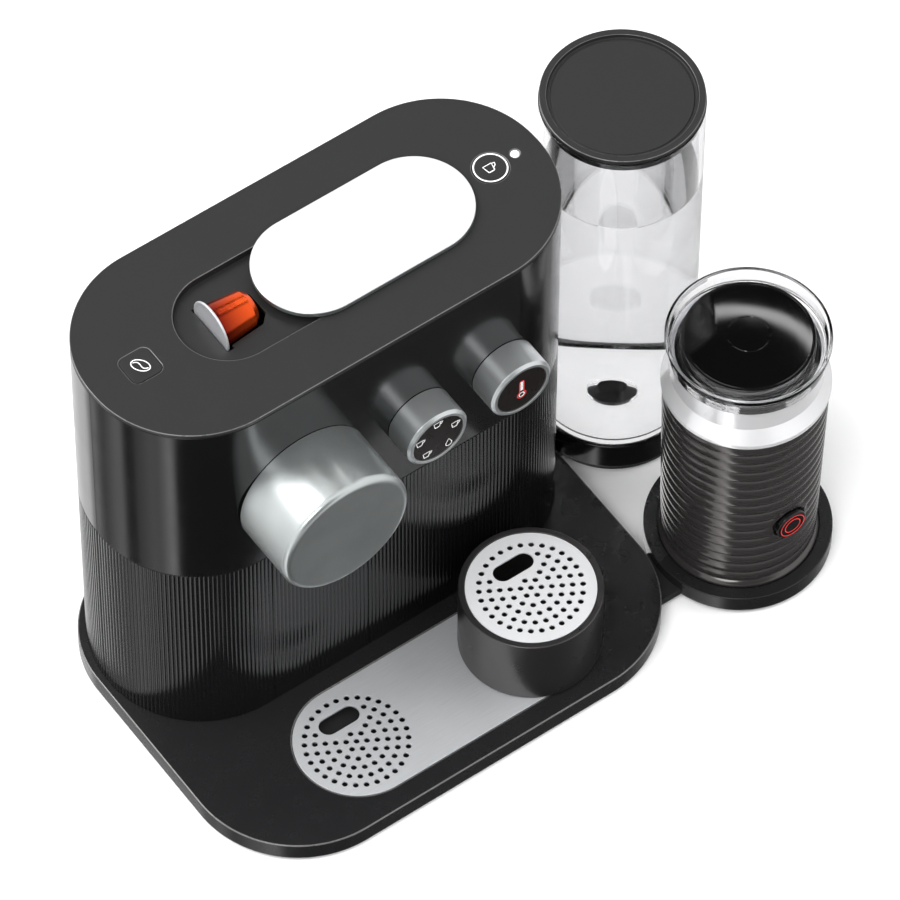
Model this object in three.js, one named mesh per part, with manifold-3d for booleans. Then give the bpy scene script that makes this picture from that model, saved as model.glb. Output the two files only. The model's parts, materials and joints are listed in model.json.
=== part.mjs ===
// Pod coffee machine with a swivelling water tank and a milk frother.
// Millimetres, +Z up, front towards -Y, tank and frother towards +X.
// Places are given from the middle of the machine's body, on the floor; the group
// at the end moves the whole object so that its box stands centred on the origin.

import * as THREE from 'three';
import { mergeVertices } from 'three/addons/utils/BufferGeometryUtils.js';
import Module from 'manifold-3d';

const wasm = await Module();
wasm.setup();

// ---- driving dimensions ------------------------------------------------------

const gap = 0.3; // between two pieces that touch
const slack = 0.8; // around a piece that moves in a slot

const body = { length: 280, depth: 124.7, endFlat: 3.5, top: 278, wall: 2.5, seamY: 2 };
const base = { bottom: 2.2, top: 14, side: 4, rear: 2.15, front: 94.85, frontCorner: 63.5 };
const topPlate = { thickness: 2.5 };
const track = { left: -84, right: 89, halfWidth: 28.5, depth: 4.5, wall: 1.5, floor: 2 };
const lid = { left: -35.4, right: 93.2, halfWidth: 32, thickness: 3.2, lift: 0.4, setback: 10 };
const lidTravel = { stroke: 52, capsuleRatio: 0.8, injectorRatio: 0.08 };
const capsule = {
  rimX: -66.6, rimThickness: 1.4, rimRadius: 15.5, cupRadius: 12.6, noseRadius: 8.2,
  cupLength: 23.7, taper: 2.2, bevel: 3, axisBelowTop: 3,
};
const button = { x: 109, y: -1, radius: 9.7, travel: 1 };
const light = { x: 124.9, y: -0.7, radius: 2.4 };
const badge = { x: -110, y: -0.3, size: 18, corner: 4, thickness: 0.9 };

const outlet = { x: -53.8, belowTop: 77.5, radius: 39, reach: 41, edge: 4, wall: 2.5 };
const spout = { radius: 7, bore: 3, below: 5, setback: 24 };
const pipeRadius = 3.5;
const seamBelowOutlet = 10.6;

const dial = { radius: 19, reach: 18.4, bevel: 1.8, wall: 3.2, face: 3, sink: 0.6, spindle: 3 };
const dials = [
  { name: 'size_dial', x: 19.5, belowTop: 78 },
  { name: 'temp_dial', x: 73, belowTop: 78 },
];

const drawer = { left: -73.9, right: -12.4, wall: 1.6, inset: 2.5, headroom: 12 };
const plate = { setback: 46.9, halfWidth: 35.4, thickness: 1.5, proud: 0.1, endShift: 1.4 };
const tray = { wall: 1.2, floorAbove: 2.4 };
const grille = {
  holeRadius: 1.6, ringPitch: 5.57, rings: 5, slotLength: 24.4, slotWidth: 10.8, slotY: 16.2,
};
const stand = {
  x: 60, radius: 39, wall: 2.6, height: 48.2, floor: 3.6, gridRadius: 35.3, gridThickness: 1.5,
};
const foot = { radius: 9, corners: [[-95, -118], [95, -118], [-95, 26], [36, 40]] };

const tank = { radius: 44.2, wall: 2.4, top: 280.4, sideGap: 1.3, y: -3.6, floorZ: 24, floor: 3.5 };
const tankLid = { rim: 4.2, panelDepth: 1.6, plateThickness: 3, skirt: 6.4, skirtWall: 1.8 };
const dock = { ring: 2.5, top: 27, seat: 4 };
const valve = { bore: 8.3, flange: 10.5 };
const arm = { halfWidth: 16, bottom: 3.2, top: 8, hub: 17, end: 44.5, swing: 90, clearance: 1.5 };
const pin = { radius: 5, head: 9, headThickness: 1, roof: 3 };

const frother = { baseRadius: 51.4, baseTop: 14, sideGap: 1.45, tankGap: 10.8, seat: 2 };
const jug = { footRadius: 43.6, lowRadius: 42.2, highRadius: 44.6, bore: 39.3, top: 145, floor: 30 };
const neck = { flare: 45.6, radius: 41.3, top: 172.2, shoulder: 11.5 };
const liner = { wall: 1.3, top: 165.6 };
const whisk = { radius: 12, thickness: 2, hub: 4.5, height: 11, spindle: 2 };
const frotherLid = {
  top: 186, rimRadius: 44.5, funnel: 178.6, discRadius: 35.6, discEdge: 184.4, dome: 2.2, knob: 11.3,
};
const frotherButton = { z: 64, radius: 9.3, proud: 2.6, travel: 0.8 };
const bridge = { halfWidth: 15, reach: 20, bottom: 2.9, top: 7.1 };

const brew = {
  halfWidth: 22.5, halfHeight: 22, wall: 3, foilGap: 0.4, foilWall: 8, noseGap: 4.5,
  guideReach: 16, guide: 12, aboveSeam: 3, bracket: 4,
};
const injector = { face: 11, radius: 15, chamfer: 1.5, thickness: 6, rod: 5, length: 24 };
const pump = { radius: 18, length: 72, motor: 10, neck: 8, x: 24, y: 20, clearance: 6 };
const heater = { left: 4, right: 66, front: -24, rear: 26, height: 54, aboveSeam: 15, boss: 4 };
const board = { thickness: 1.6, left: 0, right: 95, height: 66, belowTop: 100, standoff: 12 };
const chassis = { thickness: 3, clearance: 1.5, left: -95, right: 40, belowTop: 24, behind: 8 };
const inlet = { x: 60, z: 40, width: 28, height: 20, depth: 7.5, cavity: 6, wall: 3 };

// ---- derived places ----------------------------------------------------------

const half = { x: body.length / 2, y: body.depth / 2 };
const bodyCorner = (body.depth - body.endFlat) / 2;
const plateBottom = body.top - topPlate.thickness;
const outletZ = body.top - outlet.belowTop;
const seamZ = outletZ - outlet.radius - seamBelowOutlet;
const frontY = -half.y;

const baseEdge = { x: half.x + base.side, rear: half.y + base.rear, front: -half.y - base.front };
const plateY = frontY - plate.setback;
const plateLeft = outlet.x + plate.endShift - plate.halfWidth;
const plateRight = stand.x + plate.halfWidth;
const plateTop = base.top + plate.proud;

const trackFloor = body.top - track.depth;
const capsuleZ = body.top - capsule.axisBelowTop;
const brewZ = capsuleZ - lidTravel.stroke * lidTravel.capsuleRatio;
const coffeePipeZ = brewZ - 19;
const cupX = capsule.rimX + capsule.rimThickness + gap;
const noseX = cupX + capsule.cupLength;

const dockRadius = tank.radius + dock.ring;
const tankX = baseEdge.x + tank.sideGap + dockRadius;
const pivot = { x: baseEdge.x - bodyCorner, y: baseEdge.rear - bodyCorner };
const armAngle = Math.atan2(tank.y - pivot.y, tankX - pivot.x);
const frotherX = baseEdge.x + frother.sideGap + frother.baseRadius;
const frotherY = tank.y - dockRadius - frother.baseRadius - frother.tankGap;
const standFoot = plateTop + gap;
const chassisY = half.y - body.wall - chassis.behind;
const chassisTop = base.top + gap + chassis.thickness;
const binBottom = base.top + 4;
const buttonFloor = jug.bore + 1.2; // of the blind hole in the jug's wall

// ---- shapes ------------------------------------------------------------------

const TURN = 2 * Math.PI;
const FAR = 600; // beyond every piece
const SIDES = { large: 24, medium: 16, small: 12, hole: 4 }; // of round pieces

/** Two straight sides with a half circle at each end. */
function stadium(left, right, y, radius) {
  const shape = new THREE.Shape();
  shape.moveTo(left + radius, y - radius);
  shape.lineTo(right - radius, y - radius);
  shape.absarc(right - radius, y, radius, -Math.PI / 2, Math.PI / 2);
  shape.lineTo(left + radius, y + radius);
  shape.absarc(left + radius, y, radius, Math.PI / 2, 1.5 * Math.PI);
  return shape;
}

/** A rectangle with one radius on its front corners and one on its rear corners. */
function roundedRectangle(left, right, front, rear, frontCorner, rearCorner) {
  const shape = new THREE.Shape();
  shape.moveTo(left + frontCorner, front);
  shape.lineTo(right - frontCorner, front);
  shape.absarc(right - frontCorner, front + frontCorner, frontCorner, -Math.PI / 2, 0);
  shape.lineTo(right, rear - rearCorner);
  shape.absarc(right - rearCorner, rear - rearCorner, rearCorner, 0, Math.PI / 2);
  shape.lineTo(left + rearCorner, rear);
  shape.absarc(left + rearCorner, rear - rearCorner, rearCorner, Math.PI / 2, Math.PI);
  shape.lineTo(left, front + frontCorner);
  shape.absarc(left + frontCorner, front + frontCorner, frontCorner, Math.PI, 1.5 * Math.PI);
  return shape;
}

/** The body's plan, drawn in by inset on all sides. */
function bodyOutline(inset) {
  const corner = bodyCorner - inset;
  const x = half.x - inset;
  const y = half.y - inset;
  return roundedRectangle(-x, x, -y, y, corner, corner);
}

function baseOutline() {
  const { x, rear, front } = baseEdge;
  return roundedRectangle(-x, x, front, rear, base.frontCorner, bodyCorner);
}

function polygon(points) {
  return new THREE.Shape(points.map(([x, y]) => new THREE.Vector2(x, y)));
}

function disc(x, y, radius) {
  const shape = new THREE.Shape();
  shape.absarc(x, y, radius, 0, TURN);
  return shape;
}

// ---- solids ------------------------------------------------------------------

/** A closed geometry as a solid: shared corners merged, collapsed triangles dropped. */
function toSolid(geometry) {
  geometry.deleteAttribute('normal');
  geometry.deleteAttribute('uv');
  const merged = mergeVertices(geometry, 1e-4);
  const index = merged.index.array;
  const triangles = [];
  for (let i = 0; i < index.length; i += 3) {
    const [a, b, c] = index.slice(i, i + 3);
    if (a !== b && b !== c && c !== a) triangles.push(a, b, c);
  }
  const mesh = new wasm.Mesh({
    numProp: 3,
    vertProperties: new Float32Array(merged.attributes.position.array),
    triVerts: new Uint32Array(triangles),
  });
  mesh.merge();
  return new wasm.Manifold(mesh);
}

function toGeometry(solid) {
  const { vertProperties, triVerts } = solid.getMesh();
  const geometry = new THREE.BufferGeometry();
  geometry.setAttribute('position', new THREE.BufferAttribute(vertProperties, 3));
  geometry.setIndex(new THREE.BufferAttribute(triVerts, 1));
  geometry.computeVertexNormals();
  return geometry;
}

/** A plan shape raised from one height to another. */
function prism(shape, low, high, curveSegments = 6) {
  const geometry = new THREE.ExtrudeGeometry(shape, {
    depth: high - low, bevelEnabled: false, curveSegments,
  });
  return toSolid(geometry.translate(0, 0, low));
}

function block(left, right, front, rear, low, high) {
  const geometry = new THREE.BoxGeometry(right - left, rear - front, high - low);
  return toSolid(geometry.translate((left + right) / 2, (front + rear) / 2, (low + high) / 2));
}

/** A [radius, height] profile turned about its axis, still along +Y. */
function turnedProfile(profile, segments) {
  return new THREE.LatheGeometry(profile.map(([r, h]) => new THREE.Vector2(r, h)), segments);
}

/** A profile turned about a vertical axis; heights are world heights. */
function turned(profile, x = 0, y = 0, segments = SIDES.large) {
  return toSolid(turnedProfile(profile, segments).rotateX(Math.PI / 2).translate(x, y, 0));
}

/** A profile turned about an axis that points to the front; its heights run forward from y. */
function turnedForward(profile, x, y, z, segments = SIDES.medium) {
  return toSolid(turnedProfile(profile, segments).rotateX(Math.PI).translate(x, y, z));
}

/** A profile turned about an axis along +X; its heights run from x. */
function turnedAcross(profile, x, y, z, segments = SIDES.medium) {
  return toSolid(turnedProfile(profile, segments).rotateZ(-Math.PI / 2).translate(x, y, z));
}

/** The profile of a plain cylinder, from one height to another. */
function rod(radius, low, high) {
  return [[0, low], [radius, low], [radius, high], [0, high]];
}

/** The closed profile of a tube, from one height to another. */
function sleeve(bore, radius, low, high) {
  return [[bore, low], [radius, low], [radius, high], [bore, high], [bore, low]];
}

function post(x, y, radius, low, high, segments = SIDES.small) {
  return turned(rod(radius, low, high), x, y, segments);
}

/** A round pipe along a smooth line through the points. */
function pipe(points, radius, steps = 12) {
  const route = new THREE.CatmullRomCurve3(points.map((p) => new THREE.Vector3(...p)));
  return toSolid(new THREE.ExtrudeGeometry(disc(0, 0, radius), {
    steps, extrudePath: route, curveSegments: 4,
  }));
}

// ---- finishes and assembly ---------------------------------------------------

const finishes = {
  glossBlack: { color: 0x0c0c0d, roughness: 0.08, metalness: 0 },
  satinBlack: { color: 0x2b2b2c, roughness: 0.4, metalness: 0.1 },
  mattBlack: { color: 0x1a1a1b, roughness: 0.7, metalness: 0 },
  topGrey: { color: 0x3c3b3b, roughness: 0.42, metalness: 0.2 },
  satinMetal: { color: 0xb9bcbd, roughness: 0.3, metalness: 0.9 },
  brushedSteel: { color: 0xc9cacb, roughness: 0.25, metalness: 1 },
  polishedWhite: { color: 0xf3f3f5, roughness: 0.15, metalness: 0.2 },
  clear: { color: 0xe8eef0, roughness: 0.03, metalness: 0, transparent: true, opacity: 0.3 },
  rubber: { color: 0x151515, roughness: 0.9, metalness: 0 },
  orangeFoil: { color: 0xd2401a, roughness: 0.25, metalness: 0.8 },
  silverFoil: { color: 0xc8c8ca, roughness: 0.35, metalness: 0.9 },
  whiteLight: { color: 0xffffff, roughness: 0.4, metalness: 0 },
  board: { color: 0x1f5b35, roughness: 0.6, metalness: 0 },
  brass: { color: 0xb08d4a, roughness: 0.35, metalness: 0.9 },
};

const machine = new THREE.Group();
const standGroup = new THREE.Group();
const tankGroup = new THREE.Group();
const frotherGroup = new THREE.Group();
standGroup.position.set(stand.x, plateY, 0);
tankGroup.position.set(tankX, tank.y, 0);
frotherGroup.position.set(frotherX, frotherY, 0);
machine.add(standGroup, tankGroup, frotherGroup);

function piece(name, solid, finish, parent = machine) {
  const mesh = new THREE.Mesh(toGeometry(solid), new THREE.MeshStandardMaterial(finishes[finish]));
  mesh.name = name;
  parent.add(mesh);
}

// ---- base, drip tray and stand -----------------------------------------------

/** The space under the base that the tank's arm swings through, from below up to its roof. */
function armPocket() {
  const reach = 2 * bodyCorner;
  const side = arm.hub + arm.clearance;
  const spread = Math.atan2(side, reach);
  const swing = THREE.MathUtils.degToRad(arm.swing);
  const shape = new THREE.Shape();
  shape.moveTo(0, -side);
  shape.lineTo(reach, -side);
  shape.absarc(0, 0, Math.hypot(reach, side), -spread, swing + spread);
  shape.lineTo(-side, 0);
  shape.absarc(0, 0, side, Math.PI, 1.5 * Math.PI);
  const depth = arm.top + 2 * gap;
  const geometry = new THREE.ExtrudeGeometry(shape, { depth, bevelEnabled: false, curveSegments: 6 });
  return toSolid(geometry.rotateZ(armAngle).translate(pivot.x, pivot.y, 0));
}

/** The flat link between the two bases, or with a clearance the pocket it lies in, seen from x, y. */
function bridgeBox(clearance, x = 0, y = 0) {
  const left = baseEdge.x - bridge.reach - clearance - x;
  const right = frotherX - frother.baseRadius + bridge.reach + clearance - x;
  const side = bridge.halfWidth + clearance;
  const middle = frotherY - y;
  const low = clearance > 0 ? 0 : bridge.bottom;
  return block(left, right, middle - side, middle + side, low, bridge.top + clearance);
}

function makePin() {
  const head = arm.bottom - gap;
  const top = base.top - pin.roof - gap;
  const profile = [
    [0, head - pin.headThickness], [pin.head, head - pin.headThickness],
    [pin.head, head], [pin.radius, head], [pin.radius, top], [0, top],
  ];
  piece('arm_pivot_pin', turned(profile, pivot.x, pivot.y, SIDES.small), 'brushedSteel');
}

function makeBase() {
  const well = stadium(plateLeft - gap, plateRight + gap, plateY, plate.halfWidth + gap);
  const shell = prism(baseOutline(), base.bottom, base.top)
    .subtract(prism(well, base.bottom + tray.floorAbove, FAR))
    .subtract(armPocket())
    .subtract(bridgeBox(gap))
    .subtract(post(pivot.x, pivot.y, pin.radius + gap, 0, base.top - pin.roof));
  piece('base_shell', shell, 'satinBlack');
  foot.corners.forEach(([x, y], i) => {
    piece(`base_foot_${i + 1}`, post(x, y, foot.radius, 0, base.bottom - gap), 'rubber');
  });
  makePin();
  piece('frother_bridge', bridgeBox(0), 'mattBlack');
}

/** The centres of the drip holes: rings around x, y, without the ones close to the finger slot. */
function dripHoles(x, y) {
  const holes = [];
  const slotHalf = grille.slotWidth / 2;
  for (let ring = 0; ring <= grille.rings; ring += 1) {
    const count = Math.max(1, 6 * ring);
    const radius = grille.ringPitch * ring;
    const turn = ring % 2 === 1 ? Math.PI / count : 0;
    for (let i = 0; i < count; i += 1) {
      const angle = turn + (TURN * i) / count;
      const acrossX = radius * Math.cos(angle);
      const acrossY = radius * Math.sin(angle);
      const pastEnd = Math.max(0, Math.abs(acrossX) - (grille.slotLength / 2 - slotHalf));
      const fromSlot = Math.hypot(pastEnd, acrossY - grille.slotY) - slotHalf;
      if (fromSlot > 1.6 * grille.holeRadius) holes.push([x + acrossX, y + acrossY]);
    }
  }
  return holes;
}

/** A sheet with the drip holes and the finger slot cut through it. */
function perforated(sheet, x, y) {
  const reach = grille.slotLength / 2;
  const slot = prism(stadium(x - reach, x + reach, y + grille.slotY, grille.slotWidth / 2), 0, FAR, 3);
  return dripHoles(x, y).reduce(
    (whole, [holeX, holeY]) => whole.subtract(post(holeX, holeY, grille.holeRadius, 0, FAR, SIDES.hole)),
    sheet.subtract(slot),
  );
}

function makeDripTray() {
  const steel = stadium(plateLeft, plateRight, plateY, plate.halfWidth);
  const low = plateTop - plate.thickness;
  piece('drip_plate', perforated(prism(steel, low, plateTop), outlet.x, plateY), 'brushedSteel');
  const floor = base.bottom + tray.floorAbove + gap;
  const halfWidth = plate.halfWidth - tray.wall;
  const inner = stadium(plateLeft + tray.wall, plateRight - tray.wall, plateY, halfWidth);
  const pan = prism(steel, floor, low - gap).subtract(prism(inner, floor + tray.wall, FAR));
  piece('drip_tray', pan, 'mattBlack');
}

function makeStand() {
  const high = standFoot + stand.height;
  const gridLow = high - stand.gridThickness;
  const bore = stand.radius - stand.wall;
  const seat = stand.gridRadius + gap;
  const ledge = stand.gridRadius - 2;
  const floor = standFoot + stand.floor;
  const cup = turned([
    [0, standFoot], [stand.radius - 0.8, standFoot], [stand.radius, standFoot + 0.8],
    [stand.radius, high - 0.6], [stand.radius - 0.6, high], [seat, high],
    [seat, gridLow - gap], [ledge, gridLow - gap], [ledge, gridLow - 2],
    [bore, gridLow - 5], [bore, floor], [0, floor],
  ]);
  piece('stand_cup', cup, 'satinBlack', standGroup);
  const sheet = post(0, 0, stand.gridRadius, gridLow, high - 0.1, SIDES.large);
  piece('stand_grid', perforated(sheet, 0, 0), 'brushedSteel', standGroup);
}

// ---- body shells -------------------------------------------------------------

/** The body's wall between two heights. */
function bodyRing(low, high) {
  const inside = prism(bodyOutline(body.wall), low - 1, high + 1);
  return prism(bodyOutline(0), low, high).subtract(inside);
}

const frontHalf = () => block(-FAR, FAR, -FAR, body.seamY - gap / 2, -FAR, FAR);
const rearHalf = () => block(-FAR, FAR, body.seamY + gap / 2, FAR, -FAR, FAR);
const between = (left, right) => block(left, right, -FAR, FAR, -FAR, FAR);

/** A hole along Y through the body's front wall. */
function frontHole(x, z, radius) {
  return turnedForward(rod(radius, -2 * body.wall, 2 * body.wall), x, frontY, z, SIDES.small);
}

function makeUpperShells() {
  const ring = bodyRing(seamZ + gap / 2, plateBottom - gap);
  const holes = dials.map(({ x, belowTop }) => frontHole(x, body.top - belowTop, dial.spindle + gap));
  holes.push(frontHole(outlet.x, coffeePipeZ, pipeRadius + slack));
  const front = holes.reduce((whole, hole) => whole.subtract(hole), ring.intersect(frontHalf()));
  piece('front_shell', front, 'glossBlack');
  piece('rear_shell', ring.intersect(rearHalf()), 'glossBlack');
}

/** The power inlet's outside, grown by a clearance and reaching back to rear. */
function inletBox(clearance, rear) {
  const x = inlet.width / 2 + clearance;
  const z = inlet.height / 2 + clearance;
  return block(inlet.x - x, inlet.x + x, half.y - inlet.depth, rear, inlet.z - z, inlet.z + z);
}

function makeSkirts() {
  const ring = bodyRing(base.top + gap, seamZ - gap / 2);
  const front = ring.intersect(frontHalf());
  const drawerLeft = drawer.left + gap / 2;
  const drawerRight = drawer.right - gap / 2;
  piece('skirt_front_left', front.subtract(between(drawerLeft - gap, FAR)), 'glossBlack');
  piece('skirt_front_right', front.subtract(between(-FAR, drawerRight + gap)), 'glossBlack');
  piece('drawer_front', front.intersect(between(drawerLeft, drawerRight)), 'glossBlack');
  piece('skirt_rear', ring.intersect(rearHalf()).subtract(inletBox(gap, FAR)), 'glossBlack');
}

function makeCapsuleBin() {
  const left = drawer.left + drawer.inset;
  const right = drawer.right - drawer.inset;
  const front = frontY + body.wall + gap;
  const rear = chassisY - 2 * drawer.inset;
  const high = seamZ - drawer.headroom;
  const t = drawer.wall;
  const bin = block(left, right, front, rear, binBottom, high)
    .subtract(block(left + t, right - t, front + t, rear - t, binBottom + t, FAR));
  piece('capsule_bin', bin, 'mattBlack');
}

// ---- top: plate, track, lid and button ----------------------------------------

function badgeShape(grow) {
  const side = badge.size / 2 + grow;
  const { x, y, corner } = badge;
  return roundedRectangle(x - side, x + side, y - side, y + side, corner, corner);
}

/** The hole in the track's floor: a narrow place for the rim and a tapered one for the cup. */
function capsuleSlot() {
  const rimHalf = capsule.rimRadius + slack;
  const cupHalf = capsule.cupRadius + 1.8 * slack;
  const noseHalf = capsule.noseRadius + 2.5 * slack;
  const left = capsule.rimX - slack;
  const step = cupX + 2.5 * slack;
  const right = noseX + 4;
  const outline = polygon([
    [left, -rimHalf], [step, -rimHalf], [step, -cupHalf], [right - 5, -noseHalf - 2],
    [right, -noseHalf + 3], [right, noseHalf - 3], [right - 5, noseHalf + 2], [step, cupHalf],
    [step, rimHalf], [left, rimHalf],
  ]);
  return prism(outline, trackFloor - 2 * track.floor, body.top);
}

function makeTop() {
  const opening = stadium(track.left, track.right, 0, track.halfWidth);
  const top = prism(bodyOutline(0), plateBottom, body.top)
    .subtract(prism(opening, 0, FAR))
    .subtract(post(button.x, button.y, button.radius + gap, 0, FAR, SIDES.medium))
    .subtract(post(light.x, light.y, light.radius + gap, 0, FAR))
    .subtract(prism(badgeShape(gap), body.top - badge.thickness - gap, FAR, 2));
  piece('top_plate', top, 'topGrey');
  const badgeLow = body.top - badge.thickness;
  piece('badge', prism(badgeShape(0), badgeLow, body.top + 0.1, 2), 'topGrey');
  const lens = post(light.x, light.y, light.radius, plateBottom, body.top + 0.2);
  piece('status_light', lens, 'whiteLight');
  const left = track.left - track.wall;
  const right = track.right + track.wall;
  const outer = stadium(left, right, 0, track.halfWidth + track.wall);
  const well = prism(outer, trackFloor - track.floor, plateBottom - gap)
    .subtract(prism(opening, trackFloor, FAR))
    .subtract(capsuleSlot());
  piece('track_tray', well, 'topGrey');
}

function makeLid() {
  const low = body.top + lid.lift;
  const outline = stadium(lid.left, lid.right, 0, lid.halfWidth);
  piece('sliding_lid', prism(outline, low, low + lid.thickness, 8), 'polishedWhite');
  const runner = stadium(lid.left + lid.setback, lid.right - lid.setback, 0, track.halfWidth - 2);
  piece('lid_carriage', prism(runner, trackFloor + gap, low - gap), 'mattBlack');
}

function makeButton() {
  const stemLow = plateBottom - 5;
  const high = body.top + 0.1;
  const cap = turned([
    [0, stemLow], [3, stemLow], [3, plateBottom], [button.radius, plateBottom],
    [button.radius, high], [0, high],
  ], button.x, button.y, SIDES.medium);
  piece('coffee_button', cap, 'topGrey');
}

// ---- front: outlet head and dials ---------------------------------------------

/** A quarter-round edge at the front of a turned profile, as [radius, height] points. */
function roundedEdge(radius, reach, edge, steps = 3) {
  const points = [];
  for (let i = 0; i <= steps; i += 1) {
    const angle = (i / steps) * (Math.PI / 2);
    points.push([radius - edge + edge * Math.cos(angle), reach - edge + edge * Math.sin(angle)]);
  }
  return points;
}

function makeOutlet() {
  const { x, radius, reach, edge, wall } = outlet;
  const spoutY = frontY - spout.setback;
  const spoutLow = outletZ - radius - spout.below;
  const spoutHigh = outletZ - radius / 2;
  const drum = turnedForward([
    [0, reach - wall], [radius - wall, reach - wall], [radius - wall, gap], [radius, gap],
    ...roundedEdge(radius, reach, edge), [0, reach],
  ], x, frontY, outletZ, SIDES.large)
    .subtract(post(x, spoutY, spout.radius + gap, spoutLow, outletZ));
  piece('outlet_drum', drum, 'satinMetal');
  const nozzle = turned(sleeve(spout.bore, spout.radius, spoutLow, spoutHigh), x, spoutY, SIDES.small);
  piece('coffee_spout', nozzle, 'mattBlack');
  const route = [
    [x, -brew.halfWidth - gap, coffeePipeZ], [x, frontY + 12, coffeePipeZ],
    [x, frontY + 4, coffeePipeZ], [x, frontY - 5, coffeePipeZ],
    [x, spoutY + 7, coffeePipeZ - 3], [x, spoutY, spoutHigh + 4 * pipeRadius],
    [x, spoutY, spoutHigh + gap],
  ];
  piece('coffee_pipe', pipe(route, pipeRadius, 16), 'rubber');
}

function makeDial({ name, x, belowTop }) {
  const z = body.top - belowTop;
  const bore = dial.radius - dial.wall;
  const ring = turnedForward([
    [bore, gap], [dial.radius, gap], [dial.radius, dial.reach - dial.bevel],
    [dial.radius - dial.bevel, dial.reach], [bore, dial.reach], [bore, gap],
  ], x, frontY, z);
  piece(`${name}_ring`, ring, 'satinMetal');
  const faceFront = dial.reach - dial.sink;
  const spindleEnd = -body.wall - 3;
  const face = turnedForward([
    [0, spindleEnd], [dial.spindle, spindleEnd], [dial.spindle, faceFront - dial.face],
    [bore - gap, faceFront - dial.face], [bore - gap, faceFront], [0, faceFront],
  ], x, frontY, z);
  piece(`${name}_face`, face, 'glossBlack');
}

// ---- capsule and brew unit ----------------------------------------------------

function makeCapsule() {
  const { rimX, rimThickness, rimRadius, cupRadius, noseRadius, cupLength, taper, bevel } = capsule;
  const rim = turnedAcross([
    [0, 0], [rimRadius - 0.6, 0], [rimRadius, 0.5], [rimRadius, rimThickness - 0.3],
    [rimRadius - 0.5, rimThickness], [0, rimThickness],
  ], rimX, 0, capsuleZ);
  piece('capsule_rim', rim, 'silverFoil');
  const cup = turnedAcross([
    [0, 0], [cupRadius, 0], [cupRadius - taper, cupLength - bevel - 0.6],
    [noseRadius, cupLength - 0.8], [noseRadius - 1.2, cupLength], [0, cupLength],
  ], cupX, 0, capsuleZ);
  piece('capsule_cup', cup, 'orangeFoil');
}

/** A frame with a foil-side wall, a guide for the injector and a chute down to the bin. */
function makeBrewUnit() {
  const foilSide = capsule.rimX - brew.foilGap;
  const left = foilSide - brew.foilWall;
  const headFace = noseX + brew.noseGap;
  const headBack = headFace + injector.thickness;
  const guideFront = headFace + brew.guideReach;
  const right = guideFront + brew.guide;
  const side = brew.halfWidth;
  const inside = brew.halfWidth - brew.wall;
  const chuteLow = seamZ + brew.aboveSeam;
  const chuteHigh = brewZ - brew.halfHeight + 1;
  const chuteLeft = left + brew.wall;
  const chuteRight = headBack - brew.wall;
  const { bracket } = brew;
  const frame = block(left, right, -side, side, brewZ - brew.halfHeight, brewZ + brew.halfHeight)
    .subtract(block(foilSide, guideFront, -inside, inside, 0, FAR))
    .add(block(left, headBack, -side, side, chuteLow, chuteHigh))
    .subtract(block(chuteLeft, chuteRight, -inside, inside, chuteLow - 1, chuteHigh))
    .subtract(block(foilSide, chuteRight, -inside, inside, chuteLow - 1, FAR))
    .subtract(turnedAcross(rod(injector.rod + gap, 0, 40), guideFront - 10, 0, brewZ))
    .add(block(-60, -24, side - 1, chassisY - gap, brewZ - bracket, brewZ + bracket));
  piece('brew_frame', frame, 'mattBlack');
  const { face, radius, chamfer, thickness, length } = injector;
  const head = turnedAcross([
    [0, 0], [face, 0], [radius, chamfer], [radius, thickness], [injector.rod, thickness],
    [injector.rod, length], [0, length],
  ], headFace, 0, brewZ);
  piece('injection_head', head, 'brushedSteel');
}

// ---- water, heat and power inside the body --------------------------------------

function makeChassis() {
  const floor = base.top + gap;
  const outline = bodyOutline(body.wall + chassis.clearance);
  const rearSheet = block(
    chassis.left, chassis.right, chassisY, chassisY + chassis.thickness,
    floor + 1, body.top - chassis.belowTop,
  );
  const whole = prism(outline, floor, chassisTop)
    .add(rearSheet)
    .subtract(post(pivot.x, pivot.y, 7, 0, 30));
  piece('chassis', whole, 'mattBlack');
}

function makePump() {
  const x = drawer.right + pump.x;
  const z = chassisTop + gap + pump.radius + pump.clearance;
  const { radius, length, motor, neck: shaft } = pump;
  const housing = turnedAcross([
    [0, 0], [shaft, 0], [shaft, 10], [radius, 10], [radius, length - 18],
    [motor, length - 16], [motor, length], [0, length],
  ], x, pump.y, z);
  piece('pump', housing, 'brushedSteel');
  const end = x + length;
  const hose = pipe([
    [pivot.x, pivot.y, chassisTop + 4], [pivot.x + 1, pivot.y + 2, chassisTop + 13],
    [end + 14, pump.y - 4, z - 3], [end + 5, pump.y, z], [end + gap, pump.y, z],
  ], 3);
  piece('water_hose', hose, 'rubber');
}

function makeHeater() {
  const top = seamZ + heater.aboveSeam;
  const { left, right, front, rear } = heater;
  const casting = block(left, right, front, rear, top - heater.height, top)
    .add(block(left + 8, right - 8, front + 6, rear - 6, top - 1, top + heater.boss));
  piece('heater_block', casting, 'satinMetal');
  const outletZero = top + heater.boss + gap;
  const hot = pipe([
    [30, 0, outletZero], [30, 0, top + 16], [24, 0, brewZ - 18], [6, 0, brewZ - 12],
    [noseX + 33, 0, brewZ - 12],
  ], pipeRadius);
  piece('hot_water_pipe', hot, 'brass');
}

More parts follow.
